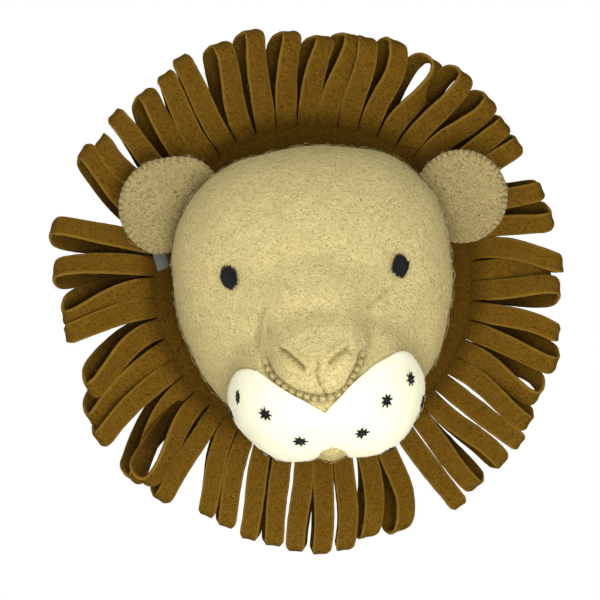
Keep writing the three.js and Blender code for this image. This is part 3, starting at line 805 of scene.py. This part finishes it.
# %% Stars
spot_places = {
    "left": [[-40, -34.5], [-24, -36.5], [-10.8, -47.2], [-29, -63], [-49, -47]],
    "right": [[38.6, -29.6], [23.9, -33.5], [13.6, -44.8], [28, -61], [48, -44]],
}
rows, spot_nodes = [], []
for side, places in spot_places.items():
    for index, spot in enumerate(places):
        spot_nodes.append(f"whisker_spot_{side}_{index + 1}")
        place, aside, upwards, out = face_axes(*spot, patch_felt + 2 * air)
        squeeze = 0.6 if (side, index) == ("left", 0) else 1.0
        for arm in range(8):
            turn = math.radians(45 * arm + rng.uniform(-7, 7))
            way = aside * math.sin(turn) * squeeze + upwards * math.cos(turn)
            reach = 4.5 * rng.uniform(0.82, 1.06)
            across = np.cross(out, way)
            for shift, share, stout in ((-0.4, 0.74, 1.0), (0.4, 0.74, 1.0), (0.0, 1.0, 1.1)):
                rows.append((place + way * reach * share / 2 + across * shift, way + across * shift * -0.2,
                             out, reach * share * np.linalg.norm(way), stout))
sewn("whisker_spots", rows, 0.68, 0.15, 2.0, black_wool, "black_wool", spot_nodes, point=0.6)


# %% Eyes
eye_spread, eye_rise, eye_threads = 48.9, 27.1, 12
eye_half_width, eye_half_height = 4.6, 6.0


def eye_pad(side):
    place, aside, upwards, out = face_axes(side * eye_spread, eye_rise, air)
    turn = np.linspace(0, 2 * math.pi, 40, endpoint=False)
    oval = np.sin(turn)[:, None] * aside * eye_half_width + np.cos(turn)[:, None] * upwards * eye_half_height
    rings = [place + oval * share + out * lift
             for share, lift in ((0.3, 1.0), (0.6, 0.9), (0.85, 0.6), (1, 0.1), (0.9, -0.6))]
    return shell("eye_pad", rings, place + out * 1.05, place - out * 0.6)


def eye_stitches(side):
    place, aside, upwards, out = face_axes(side * eye_spread, eye_rise, air)
    rows = []
    for k in range(eye_threads):
        x = (k - (eye_threads - 1) / 2) * 0.82 + rng.uniform(-0.15, 0.15)
        chord = 13.2 * math.sqrt(max(1 - (x / 5.3) ** 2, 0.2)) * rng.uniform(0.88, 1.04)
        lift = 0.7 * (1 - (x / 5.7) ** 2) + rng.uniform(-0.1, 0.3)
        rows.append((place + aside * x + upwards * rng.uniform(-0.6, 0.6) + out * lift,
                     upwards + aside * rng.uniform(-0.16, 0.16), out, chord, rng.uniform(0.85, 1.3)))
    return rows


for sign, side in ((-1, "left"), (1, "right")):
    finished(f"eye_{side}_pad", eye_pad(sign), black_wool, "black_wool", ["eye_" + side])
sewn("eye_threads", eye_stitches(-1) + eye_stitches(1), 0.85, 0.8, 5.0, black_wool, "black_wool", point=0.35)

# %% [markdown]
# ## Ears
# An ear is two round plies of felt sewn together at the rim with blanket stitch, and cupped
# towards the viewer. Where it meets the head it is cut to the head's outline. Rings from the
# middle to the rim and back make it, and the rim is scalloped where the thread pulls it in.

# %% Where an ear stops at the head
ears = {
    "left": {"middle": (-81.5, 52.5), "radius": 29.0, "full": 5.0, "full_clock": 55, "flat": 2.6},
    "right": {"middle": (90.5, 47.0), "radius": 27.7, "full": 0.0, "full_clock": 0, "flat": 0.0},
}
ear_felt_thick, ear_depth, ear_cup, ear_stitch = 5.0, 40.0, 5.0, 3.8


def outside_head(x, z, depth):
    """How far a place at a depth lies outside the head's outline there, in millimetres."""
    around = np.arange(0, 360, 2.0)
    outline = skin(rim_angle(around, depth), around)
    bearing = np.degrees(np.arctan2(outline[:, 0], outline[:, 2])) % 360
    order = np.argsort(bearing)
    reach = np.interp(np.degrees(np.arctan2(x, z)) % 360, bearing[order],
                      np.hypot(outline[:, 0], outline[:, 2])[order], period=360)
    return np.hypot(x, z) - reach


def ear_reach(ear, turn):
    """The radius of an ear at each turn, and whether its rim is free there."""
    free = ear["radius"] + ear["full"] * bell(((turn - ear["full_clock"] + 540) % 360 - 180) / 60)
    free = free - ear["flat"] * bell((turn - 172) / 34)
    radius = np.arange(0, 40, 0.25)[:, None]
    x = ear["middle"][0] + radius * np.sin(np.radians(turn))
    z = ear["middle"][1] + radius * np.cos(np.radians(turn))
    inside = outside_head(x, z, ear_depth + 1) < air + 0.4
    stop = np.where(inside.any(0), radius[inside.argmax(0), 0], 99)
    return np.minimum(free, stop), stop > free


# %% An ear
def ear_piece(side):
    ear = ears[side]
    turn = np.arange(0, 360, 1.0)
    reach, free = ear_reach(ear, turn)
    ways = np.stack([np.sin(np.radians(turn)), np.zeros(len(turn)), np.cos(np.radians(turn))], 1)
    pull = (0.5 + 0.5 * np.cos(2 * math.pi * turn * ear["radius"] * math.pi / 180 / ear_stitch)) * free
    section = [(s, 1, 1.0) for s in np.linspace(0.06, 0.86, 16)]
    section += [(0.91, 1, .97), (0.945, 1, .9), (0.972, 1, .74), (0.99, 1, .5), (1.0, 1, .2)]
    section += [(s, -1, h) for s, _, h in reversed(section)]
    rings = []
    for share, face_side, height in section:
        rim = math.exp(-((share - 0.955) / 0.05) ** 2)
        out = reach * share - 0.5 * pull ** 2 * (share > 0.95)
        hug = np.where(free, 1.0, 0.0)
        rounded = height + (1 - height) * (1 - hug) * 0.8
        level = ear_depth + ear_cup * ((out / ear["radius"]) ** 2 - 0.5)
        level = level + face_side * ear_felt_thick / 2 * (rounded - 0.36 * pull ** 3 * rim)
        level = level + 0.5 * np.sin(turn / 37 + share * 3) * share
        point = ways * out[:, None] + np.array([ear["middle"][0], 0, ear["middle"][1]])
        rings.append(point - np.array([0, 1, 0]) * level[:, None])
    front, back = [[ear["middle"][0], -(ear_depth - ear_cup / 2 + s * ear_felt_thick / 2), ear["middle"][1]]
                   for s in (1, -1)]
    mesh = shell(f"ear_{side}_felt", rings, front, back)
    place = np.array([vertex.co for vertex in mesh.vertices]) * 1000
    # Painted shade on the ear where it comes close to the head
    deep = 0.6 * np.exp(-np.maximum(outside_head(place[:, 0], place[:, 2], ear_depth), 0) / 7)
    mesh.attributes.new("deep", "FLOAT", "POINT").data.foreach_set("value", deep.astype(np.float32))
    return finished(f"ear_{side}_felt", mesh, ear_felt, "ear_felt", ["ear_" + side])


ear_left, ear_right = ear_piece("left"), ear_piece("right")


# %% Blanket stitch round the ears
def blanket_stitch(side):
    ear = ears[side]
    turn = np.arange(0, 360, math.degrees(ear_stitch / ear["radius"]))
    reach, free = ear_reach(ear, turn)
    rows = []
    for angle, radius, is_free in zip(np.radians(turn + rng.uniform(-1.2, 1.2, len(turn))), reach, free):
        if not is_free:
            continue
        way = np.array([math.sin(angle), 0, math.cos(angle)])
        around = np.array([math.cos(angle), 0, -math.sin(angle)])
        middle = np.array([ear["middle"][0], -ear_depth - ear_cup / 2, ear["middle"][1]])
        for face_side in (1, -1):
            place = middle + way * (radius - 1.7) + np.array([0, -face_side * ear_felt_thick * 0.33, 0])
            out = np.array([0, -face_side * 1.0, 0]) + way * 0.5
            slant = around * rng.uniform(-0.3, 0.3)
            rows.append((place, way + slant + np.array([0, face_side * 0.5, 0]), out, rng.uniform(2.2, 3.2),
                         rng.uniform(0.6, 1.1)))
        rows.append((middle + way * (radius - 0.4) + around * ear_stitch / 2, around, way,
                     ear_stitch * 1.2, 0.8))
    return rows


sewn("ear_stitches", blanket_stitch("left") + blanket_stitch("right"), 0.4, 0.05, 1.5,
     dark_thread, "ear_felt")

# %% [markdown]
# ## The mane
# The mane is one strip of ochre felt, folded along its length and slit through the fold, so each
# cut piece springs open into a loop, and sewn round the head by its uncut edge. A cloth
# simulation of fifty crowded loops would be slow and hard to steer. The rule is simple instead:
# a flat strip swept along a line that runs out from the band, turns, and comes back. Python lays
# those lines from the table of the CAD source, and a geometry-node tree sweeps the felt along
# them. The band that the loops stand on is one more line, closed round the head.

# %% How the loops lie, bunch by bunch and clockwise from the top
bunches = [
    ([3.5, 2.2, -1, -2.4], [-3, -3.5, -1, -3], [-3, -3, -3, -3.5], [-3, 0, 0, 3]),
    ([0, 0, 1, 0.5, -1], [-5.6, -4, -3.6, -2, -2], [-4.2, -4, -3.6, -3, -3], [2, 4, 3, 0, -1]),
    ([4, 3.5], [-1, -3.2], [-2, -2], [-2, -2]),
    ([8, 2, 0, 3, 2, 3, 3, 1, 0, 0.2, -1], [0, 0, 3, 0, -3, -4.6, -2, 0, 1, -2, 0],
     [1, 1.5, 1, 0, -1.5, 0, 0, 0, 0, 0, 0], [-2, -8, -4, -2, 1, -2, 0, 3, 2, 1, 4]),
    ([7, 7, 5, 3, 1, -1, -2.8, -3.8, -5.7], [3, 2, 0, 0.5, -0.7, 0.8, -0.6, 0.8, 0],
     [0, 0, 0.3, 0.5, -0.7, 0.8, -0.5, 1, 1], [0, -2, 3, 4, 2, 0, -1, -4, -6]),
    ([-1.5, -2.4, -8.3, -4.6, -7.6, -8.8], [2, 5, 3, 2, 3.6, 4], [2, 2, 2, 2, 2, 2], [0, -4, 2, 0, -2, -10]),
    ([-3.7, -6.5, -5, -3], [0, 4, -3, -3], [1.5, 0.6, -0.3, -1.5], [-7, -7, -2, 3]),
    ([8, 5, 3.7, 3.8, 3.2, 0.5, 1.5, 2, 3], [-2, 0, 0, -3, 0, 0, -3, -3, -3],
     [-2, -2, -2, -3, -3, -3, -3, -3, -3], [4, -1, 2, -1, 0, 4, 2, 4, 0]),
]
leans, gapes, slips, reaches = [sum(column, []) for column in zip(*bunches)]
set_back = {12: -0.13, 33: -0.11}
set_forward = {5: .12, 11: .05, 13: .05, 17: .05, 31: -.04, 32: .2, 34: .06, 35: -.04, 36: .08}
pitch = 360 / len(leans)
mane_middle, mane_felt, tip_radius, band_depth = np.array([-2.0, 0, -1.0]), 3.2, 155.5, 10.0
print("loops:", len(leans))


# %% Places round the mane
def root_clock(index):
    back = 2.4 * (1 - np.cos(np.radians(pitch * index)))
    return 3.4 + pitch * index - back - 1.7 * bell((index - 32.8) / 5.5)


def slit_reach(clock):
    return 97.5 + 4.7 * np.cos(np.radians(clock - 54))


def on_wall(clock, radius, depth):
    c = np.radians(clock)
    return np.stack(np.broadcast_arrays(radius * np.sin(c), -depth, radius * np.cos(c)), -1)


# %% The line of one loop
wobble = np.random.default_rng(12)


def loop_line(index):
    """Middle, half width, half thickness, edge flare and painted shade at each station of a loop."""
    root = root_clock(index)
    start = slit_reach(root) - 3.0
    length = tip_radius + reaches[index] - mane_felt / 2 - start
    flare = 0.12 + set_back.get(index, 0) + set_forward.get(index, 0)
    gape = math.radians(gapes[index]) * tip_radius
    deep = math.sqrt(max(14 ** 2 - gape ** 2, 9)) * (0.5 if index in set_back else 1)
    opening, turn, closed = math.hypot(gape, deep), math.atan2(gape, deep), mane_felt + 0.4
    bend = opening / 2
    q = np.linspace(0, 1, 17)[:-1]
    a = np.linspace(0, math.pi / 2, 8)
    out = np.r_[q * (length - bend), length - bend + bend * np.sin(a)]
    wide = np.r_[closed + (opening - closed) * smooth(q), opening * np.cos(a)]
    out, wide = np.r_[out, out[-2::-1]], np.r_[wide, -wide[-2::-1]]
    share = out / length
    wander = wobble.uniform(-0.5, 0.5, 2)
    clock = root + leans[index] * (0.35 * share + 0.65 * share ** 2)
    clock = clock + np.where(wide < 0, slips[index] * (1 - smooth(share)), 0)
    clock = clock + wander[0] * np.sin(math.pi * share) + wander[1] * np.sin(2 * math.pi * share)
    twist = (turn * smooth(share * 1.2))[:, None]
    tangent, forward = on_wall(clock + 90, 1.0, 0.0), np.array([0.0, -1.0, 0.0])
    opens = forward * np.cos(twist) - tangent * np.sin(twist)
    width = tangent * np.cos(0.55 * twist) + forward * np.sin(0.55 * twist)
    middle = on_wall(clock, start + out, band_depth + flare * out) + mane_middle + opens * wide[:, None] / 2
    along = np.gradient(middle, axis=0)
    along /= np.linalg.norm(along, axis=1, keepdims=True)
    width -= along * (width * along).sum(1, keepdims=True)
    width /= np.linalg.norm(width, axis=1, keepdims=True)
    room = math.radians(root_clock(index + .5) - root_clock(index - .5))
    half = ((slit_reach(root) - 1.0) * room - 0.3) / 2 * (1 + 0.08 * bell((share - 0.45) / 0.5))[:, None]
    half = half * (1 - 0.26 * smooth((out - (length - 3.6)) / 3.6) ** 2)[:, None]
    outwards = np.cross(width, along)
    flare = smooth((out - (length - 2.4 * bend)) / (2.0 * bend))[:, None] * wobble.uniform(0.3, 0.9)
    # Painted shade, in thousandths: at the root by the band, and on the loop's inner faces, less towards the
    # tip
    gloom = np.stack([0.55 * (1 - smooth(out / 14)), 0.85 - 0.5 * smooth((share - 0.5) / 0.5), 0 * share], 1)
    return middle, width * half, outwards * mane_felt / 2, outwards * flare, gloom * 1000


# %% The line of the band
def band_line():
    clock = np.arange(0, 360, 1.5)
    guess = clock.copy()
    for _ in range(8):
        inner = skin(rim_angle(guess, 9.2), guess) - mane_middle
        guess += (clock - np.degrees(np.arctan2(inner[:, 0], inner[:, 2])) + 540) % 360 - 180
    inner, outer = np.hypot(inner[:, 0], inner[:, 2]) + 0.5, slit_reach(clock)
    middle = on_wall(clock, (inner + outer) / 2, 9.6) + mane_middle
    half = (on_wall(clock, outer, 10.0) - on_wall(clock, inner, 9.2)) / 2
    # Painted shade over the band, which lies under the head and the loops
    gloom = np.tile([450.0, 0, 0], (len(clock), 1))
    return middle, half, np.tile([0, -3.5, 0], (len(clock), 1)), np.zeros((len(clock), 3)), gloom


# %% All the lines as one mesh of edges
strip_vectors = ("middle", "across", "thick", "flare", "gloom")


def mane_lines():
    parts = [loop_line(index) for index in range(len(leans))] + [band_line()]
    points, edges, first = [], [], 0
    for number, (middle, *_) in enumerate(parts):
        count = len(middle)
        edges += [(first + k, first + k + 1) for k in range(count - 1)]
        if number == len(leans):
            edges.append((first + count - 1, first))
        points.append(middle)
        first += count
    mesh = bpy.data.meshes.new("mane_lines")
    mesh.from_pydata((np.vstack(points) * 0.001).tolist(), edges, [])
    for column, label in enumerate(strip_vectors):
        numbers = np.vstack([part[column] for part in parts]).astype(np.float32) * 0.001
        mesh.attributes.new(label, "FLOAT_VECTOR", "POINT").data.foreach_set("vector", numbers.ravel())
    return mesh


# %% The tree that sweeps felt along lines
def strip_tree():
    board, given = geometry_board("felt_strips", ("Ripple", "Ripple Size", "Seed"), [])
    line = board.add("GeometryNodeMeshToCurve", {}, {0: given["Geometry"]})[0]
    ring = board.add("GeometryNodeCurvePrimitiveCircle", {}, {"Resolution": 16, "Radius": 1.0})[0]
    x, y, _ = board.add("ShaderNodeSeparateXYZ", {}, {0: board.add("GeometryNodeInputPosition")[0]})
    squared = [share.math("SIGN") * abs(share) ** power for share, power in ((x, 0.35), (y, 0.6))]
    ring = stored(board, ring, "section", board.xyz(*squared, 0.0), "FLOAT_VECTOR")
    swept = board.add("GeometryNodeCurveToMesh", {},
                      {"Curve": line, "Profile Curve": ring, "Fill Caps": True})[0]
    middle, across, thick, flare, gloom, section = [
        attribute(board, label, "FLOAT_VECTOR") for label in (*strip_vectors, "section")]
    u, v, _ = board.add("ShaderNodeSeparateXYZ", {}, {0: section})
    ragged = board.noise(board.vector("ADD", middle, across), 160.0, seed=9.0)[0]
    width = u * (0.93 + ragged * 0.16)
    wide, high, bowed = [board.vector("SCALE", vector, share) for vector, share in
                         ((across, width), (thick, v), (flare, u * u - 0.33))]
    place = board.vector("ADD", board.vector("ADD", middle, bowed), board.vector("ADD", wide, high))
    noise = board.noise(middle, given["Ripple Size"], seed=given["Seed"])[0]
    lifted = board.vector("SCALE", board.vector("NORMALIZE", thick), (noise - 0.5) * given["Ripple"])
    place = board.vector("ADD", place, lifted)
    shaped = board.add("GeometryNodeSetPosition", {}, {"Geometry": swept, "Position": place})[0]
    # Painted shade at the loops' roots, on their inner faces and over the band; a painted highlight on the
    # cut edges, less where there is painted shade
    root, inside, _ = board.add("ShaderNodeSeparateXYZ", {}, {0: gloom})
    deep = (root + (1 - v).between(0.9, 1.9) * inside).math("MINIMUM", 1.0)
    for label, value in (("rim", abs(u) * (1 - deep)), ("deep", deep)):
        shaped = stored(board, shaped, label, value)
    return closed_tree(board, shaped, given["Material"])


# %% The mane as one sheet of felt
mane_mesh = grown("mane_felt", strip_tree(), mane_lines(),
                  {"Ripple": 0.0014, "Ripple Size": 80.0, "Seed": 4.0, "Material": ochre_felt})
if measure(mane_mesh)[1] < 0:
    mane_mesh.flip_normals()
for label in (*strip_vectors, "section"):
    if label in mane_mesh.attributes:
        mane_mesh.attributes.remove(mane_mesh.attributes[label])
mane = finished("mane_felt", mane_mesh, None, "ochre_felt", ["mane"])

# %% [markdown]
# ## The back and the label
# The back of the head is closed by a flat disc of the straw felt, whipped on round its edge. A
# small grey woven label hangs from under the left ear. It carries no lettering here.

# %% Back panel
back_clock = np.arange(0, 360, 2.0)
back_rim = skin(rim_angle(back_clock, 3.3), back_clock)
back_reach = np.hypot(back_rim[:, 0], back_rim[:, 2]) - 1.5
back_bearing = np.degrees(np.arctan2(back_rim[:, 0], back_rim[:, 2]))
# Depth, and share of the way from the middle to the rim
profile = [(0.0, 0.4), (0.0, 0.94), (0.35, 0.985), (1.0, 1.0), (2.1, 1.0), (2.75, 0.985), (3.0, 0.95),
           (3.0, 0.4)]
rings = [on_wall(back_bearing, back_reach * share, depth) for depth, share in profile]
back_mesh = shell("back_felt", rings, [0, 0, 0], [0, -3.0, 0])
back = finished("back_felt", back_mesh, straw_felt, "straw_felt", ["back_panel"])


# %% Whip stitches round the back
rows = []
for k in range(0, 180, 2):
    way = on_wall(back_bearing[k], 1.0, 0.0)
    place = on_wall(back_bearing[k], back_reach[k] - 0.4, 1.6)
    rows.append((place, way * 0.3 + np.array([0, -1.0, 0]), way, 3.0, rng.uniform(0.8, 1.1)))
sewn("back_stitches", rows, 0.5, 0.25, 1.5, dark_thread, "straw_felt")

# %% The weave of the label
def label_weave():
    """Fine warp and weft by the label's own UV map, with a slightly darker selvage."""
    material, board, coordinates = new_material("label_weave")
    u, v, _ = board.add("ShaderNodeSeparateXYZ", {}, {0: coordinates[2]})
    warp, weft = [(share * count * math.pi).math("SINE") for share, count in ((u, 26.0), (v, 44.0))]
    crossing = abs(warp * weft)
    tone = board.blend(crossing, paint(62, 64, 62), paint(104, 106, 100))
    tone = board.blend(abs(u - 0.5).between(0.40, 0.47) * 0.5, tone, paint(64, 66, 64))
    return finish_material(material, board, tone, (crossing, 0.5, 0.0002), 0.55, 0.5)


# %% The label
def woven_label():
    low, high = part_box("label")
    middle = np.array((low + high) / 2)
    across, steps, thick = 13, 25, 0.0008
    turn, lean = math.radians(6), math.radians(13)
    points, uvs, faces = [], [], []
    for face_side in (1, -1):
        for row in range(steps):
            for column in range(across):
                u, v = column / (across - 1), row / (steps - 1)
                x = (u - 0.5) * 0.008
                bottom = -0.009 + 0.001 * u
                z = 0.009 + (bottom - 0.009) * v
                x, z = x * math.cos(lean) - z * math.sin(lean), x * math.sin(lean) + z * math.cos(lean)
                rounding = min(1.0, 6 * min(u, 1 - u) + 0.35)
                y = -face_side * thick / 2 * rounding - 0.0005 * math.sin(v * 2.6) + 0.0003 * math.cos(u * 5)
                points.append(middle + np.array([x * math.cos(turn) - y * math.sin(turn),
                                                 x * math.sin(turn) + y * math.cos(turn), z]))
                uvs.append((u, v))
    plate = across * steps
    for row in range(steps - 1):
        for column in range(across - 1):
            a = row * across + column
            faces.append((a, a + 1, a + across + 1, a + across))
            faces.append((plate + a, plate + a + across, plate + a + across + 1, plate + a + 1))
    ring = [*range(across), *[row * across + across - 1 for row in range(1, steps)],
            *[(steps - 1) * across + column for column in range(across - 2, -1, -1)],
            *[row * across for row in range(steps - 2, 0, -1)]]
    faces += [(a, plate + a, plate + b, b) for a, b in zip(ring, ring[1:] + ring[:1])]
    mesh = bpy.data.meshes.new("label_strip")
    mesh.from_pydata(points, [], faces)
    layer = mesh.uv_layers.new(name="UVMap")
    for loop in mesh.loops:
        layer.data[loop.index].uv = uvs[loop.vertex_index]
    if measure(mesh)[1] < 0:
        mesh.flip_normals()
    mesh.shade_smooth()
    return finished("label_strip", mesh, label_weave(), "tag_weave", ["label"])


label = woven_label()

# %% [markdown]
# ## Loose fibres
# Felt never ends in a clean line: short fibres stand off it everywhere, and they soften its
# outline. Blender's hair could grow them, but it isn't kept by an export. A second tree scatters
# points over a piece, puts one of five curled strands on each, turned at random in the plane of
# the felt, and makes them real.

# %% The fibre tree
def fibre_tree():
    board, given = geometry_board("loose_fibres", ("Per Square Metre", "Length", "Thickness"),
                                  [("Seed", "Int")])

    def strand(k):
        def bend(along):
            aside = (along * (3.5 + 1.1 * k) + 1.7 * k).math("SINE") * (0.10 + 0.03 * k)
            arch = (along * math.pi).math("SINE") * (0.05 + 0.03 * k)
            return aside, arch - 0.01 + along * along * (0.04 * k)
        tube = bent_tube(board, 7, bend, 3, given["Thickness"] / given["Length"] * 0.5)
        return board.add("GeometryNodeGeometryToInstance", {}, {0: tube})[0]

    pick = board.add("GeometryNodeJoinGeometry", {}, {0: [strand(k) for k in range(5)]})[0]
    # Fewer loose fibres where the painted shade is deepest
    density = given["Per Square Metre"] * (1.001 - attribute(board, "deep"))
    points, _, turn = board.add("GeometryNodeDistributePointsOnFaces", {"distribute_method": "RANDOM"},
                                {"Mesh": given["Geometry"], "Density": density, "Seed": given["Seed"]})
    spin = board.xyz(0.0, 0.0, chance(board, 0.0, 2 * math.pi, 5))
    spin = board.add("FunctionNodeEulerToRotation", {}, {0: spin})[0]
    turn = board.add("FunctionNodeRotateRotation", {"rotation_space": "LOCAL"}, {0: turn, 1: spin})[0]
    size = chance(board, 0.5, 1.3, 6) * given["Length"]
    placed = planted(board, {"Points": points, "Instance": pick, "Pick Instance": True, "Rotation": turn,
                             "Scale": size}, 7)
    return closed_tree(board, placed, given["Material"], soft=False)


loose_fibres = fibre_tree()


# %% Fibres on every felt
# Piece, fibres to the square metre, their length and thickness in mm, material and slot
fuzzy = [(head, 55000.0, 7.0, 0.09, straw_fibre, "straw_felt"),
         (mane, 20000.0, 5.0, 0.09, ochre_fibre, "ochre_felt"),
         (ear_left, 60000.0, 5.0, 0.08, straw_fibre, "ear_felt"),
         (ear_right, 60000.0, 5.0, 0.08, straw_fibre, "ear_felt"),
         (muzzle_left, 60000.0, 4.0, 0.10, cream_fibre, "cream_felt"),
         (muzzle_right, 60000.0, 4.0, 0.10, cream_fibre, "cream_felt")]
for seed, (base, density, length, thickness, material, slot) in enumerate(fuzzy, 1):
    name = base.name.replace("_felt", "_fibres")
    mesh = grown(name, loose_fibres, base.data.copy(),
                 {"Per Square Metre": density, "Length": length * 0.001, "Thickness": thickness * 0.001,
                  "Seed": seed, "Material": material})
    finished(name, mesh, None, slot)

# %% [markdown]
# ## The cut of the felt
# The patches and the ears are cut in curves.

# %% [markdown]
# ## Camera, floor and light
# The photograph is a straight front view with the lion turned a little, against plain white. So
# the world is white, a soft light from the front and a lower one brighten the nose and the
# muzzle, and a fill light from the upper left shapes the brow. The camera's place, lens and
# shift were found by laying the CAD outline over the photograph.

# %% Camera
azimuth, roll = math.radians(-1.5), math.radians(4)
target = Vector((0, -0.018, 0))
back_way = Vector((math.sin(azimuth), -math.cos(azimuth), 0))
right_way, up_way = Vector((math.cos(azimuth), math.sin(azimuth), 0)), Vector((0, 0, 1))
camera_data = bpy.data.cameras.new("camera")
camera_data.lens, camera_data.sensor_width = 108.18, 36
camera_data.shift_x, camera_data.shift_y = -12 / 600, -13 / 600
camera = bpy.data.objects.new("camera", camera_data)
across = right_way * math.cos(roll) - up_way * math.sin(roll)
upright = right_way * math.sin(roll) + up_way * math.cos(roll)
turned = Matrix((across, upright, back_way)).transposed().to_4x4()
camera.matrix_world = Matrix.Translation(target + back_way * 1.082) @ turned
bpy.context.scene.collection.objects.link(camera)
bpy.context.scene.camera = camera

# %% Floor, world and lights
floor_mesh = bpy.data.meshes.new("floor")
floor_mesh.from_pydata([(-0.6, -0.9, -0.4), (0.6, -0.9, -0.4), (0.6, 0.4, -0.4), (-0.6, 0.4, -0.4)],
                       [], [(0, 1, 2, 3)])
floor = bpy.data.objects.new("floor", floor_mesh)
bpy.context.scene.collection.objects.link(floor)
floor_paint = bpy.data.materials.new("floor_paint")
floor_paint.use_nodes = True
floor_paint.node_tree.nodes["Principled BSDF"].inputs["Base Color"].default_value = paint(236, 235, 232)
floor_paint.node_tree.nodes["Principled BSDF"].inputs["Roughness"].default_value = 0.9
floor_mesh.materials.append(floor_paint)

world = bpy.data.worlds.new("white_room")
world.use_nodes = True
board = Board(world.node_tree)
seen = board.add("ShaderNodeLightPath")[0]
dim, bright = [board.add("ShaderNodeBackground", {}, {"Color": (1, 1, 1, 1), "Strength": level})
               for level in (0.43, 1.0)]
room = board.add("ShaderNodeMixShader", {}, {0: seen, 1: dim[0], 2: bright[0]})[0]
world.node_tree.links.new(room.socket, world.node_tree.nodes["World Output"].inputs["Surface"])
bpy.context.scene.world = world
bpy.context.scene.view_settings.view_transform = "Standard"


def soft_light(name, place, aim, size, power):
    data = bpy.data.lights.new(name, "AREA")
    data.shape, data.size, data.energy = "SQUARE", size, power
    light = bpy.data.objects.new(name, data)
    light.location = place
    light.rotation_mode = "QUATERNION"
    light.rotation_quaternion = (Vector(aim) - Vector(place)).to_track_quat("-Z", "Y")
    bpy.context.scene.collection.objects.link(light)


soft_light("key_light", (0.16, -1.05, -0.14), (0, -0.05, 0), 0.5, 5.0)
soft_light("low_light", (0.0, -0.62, -0.30), (0, -0.09, -0.05), 0.4, 2.3)
soft_light("fill_light", (-0.5, -0.7, 0.7), (0, -0.05, 0), 0.6, 2.8)
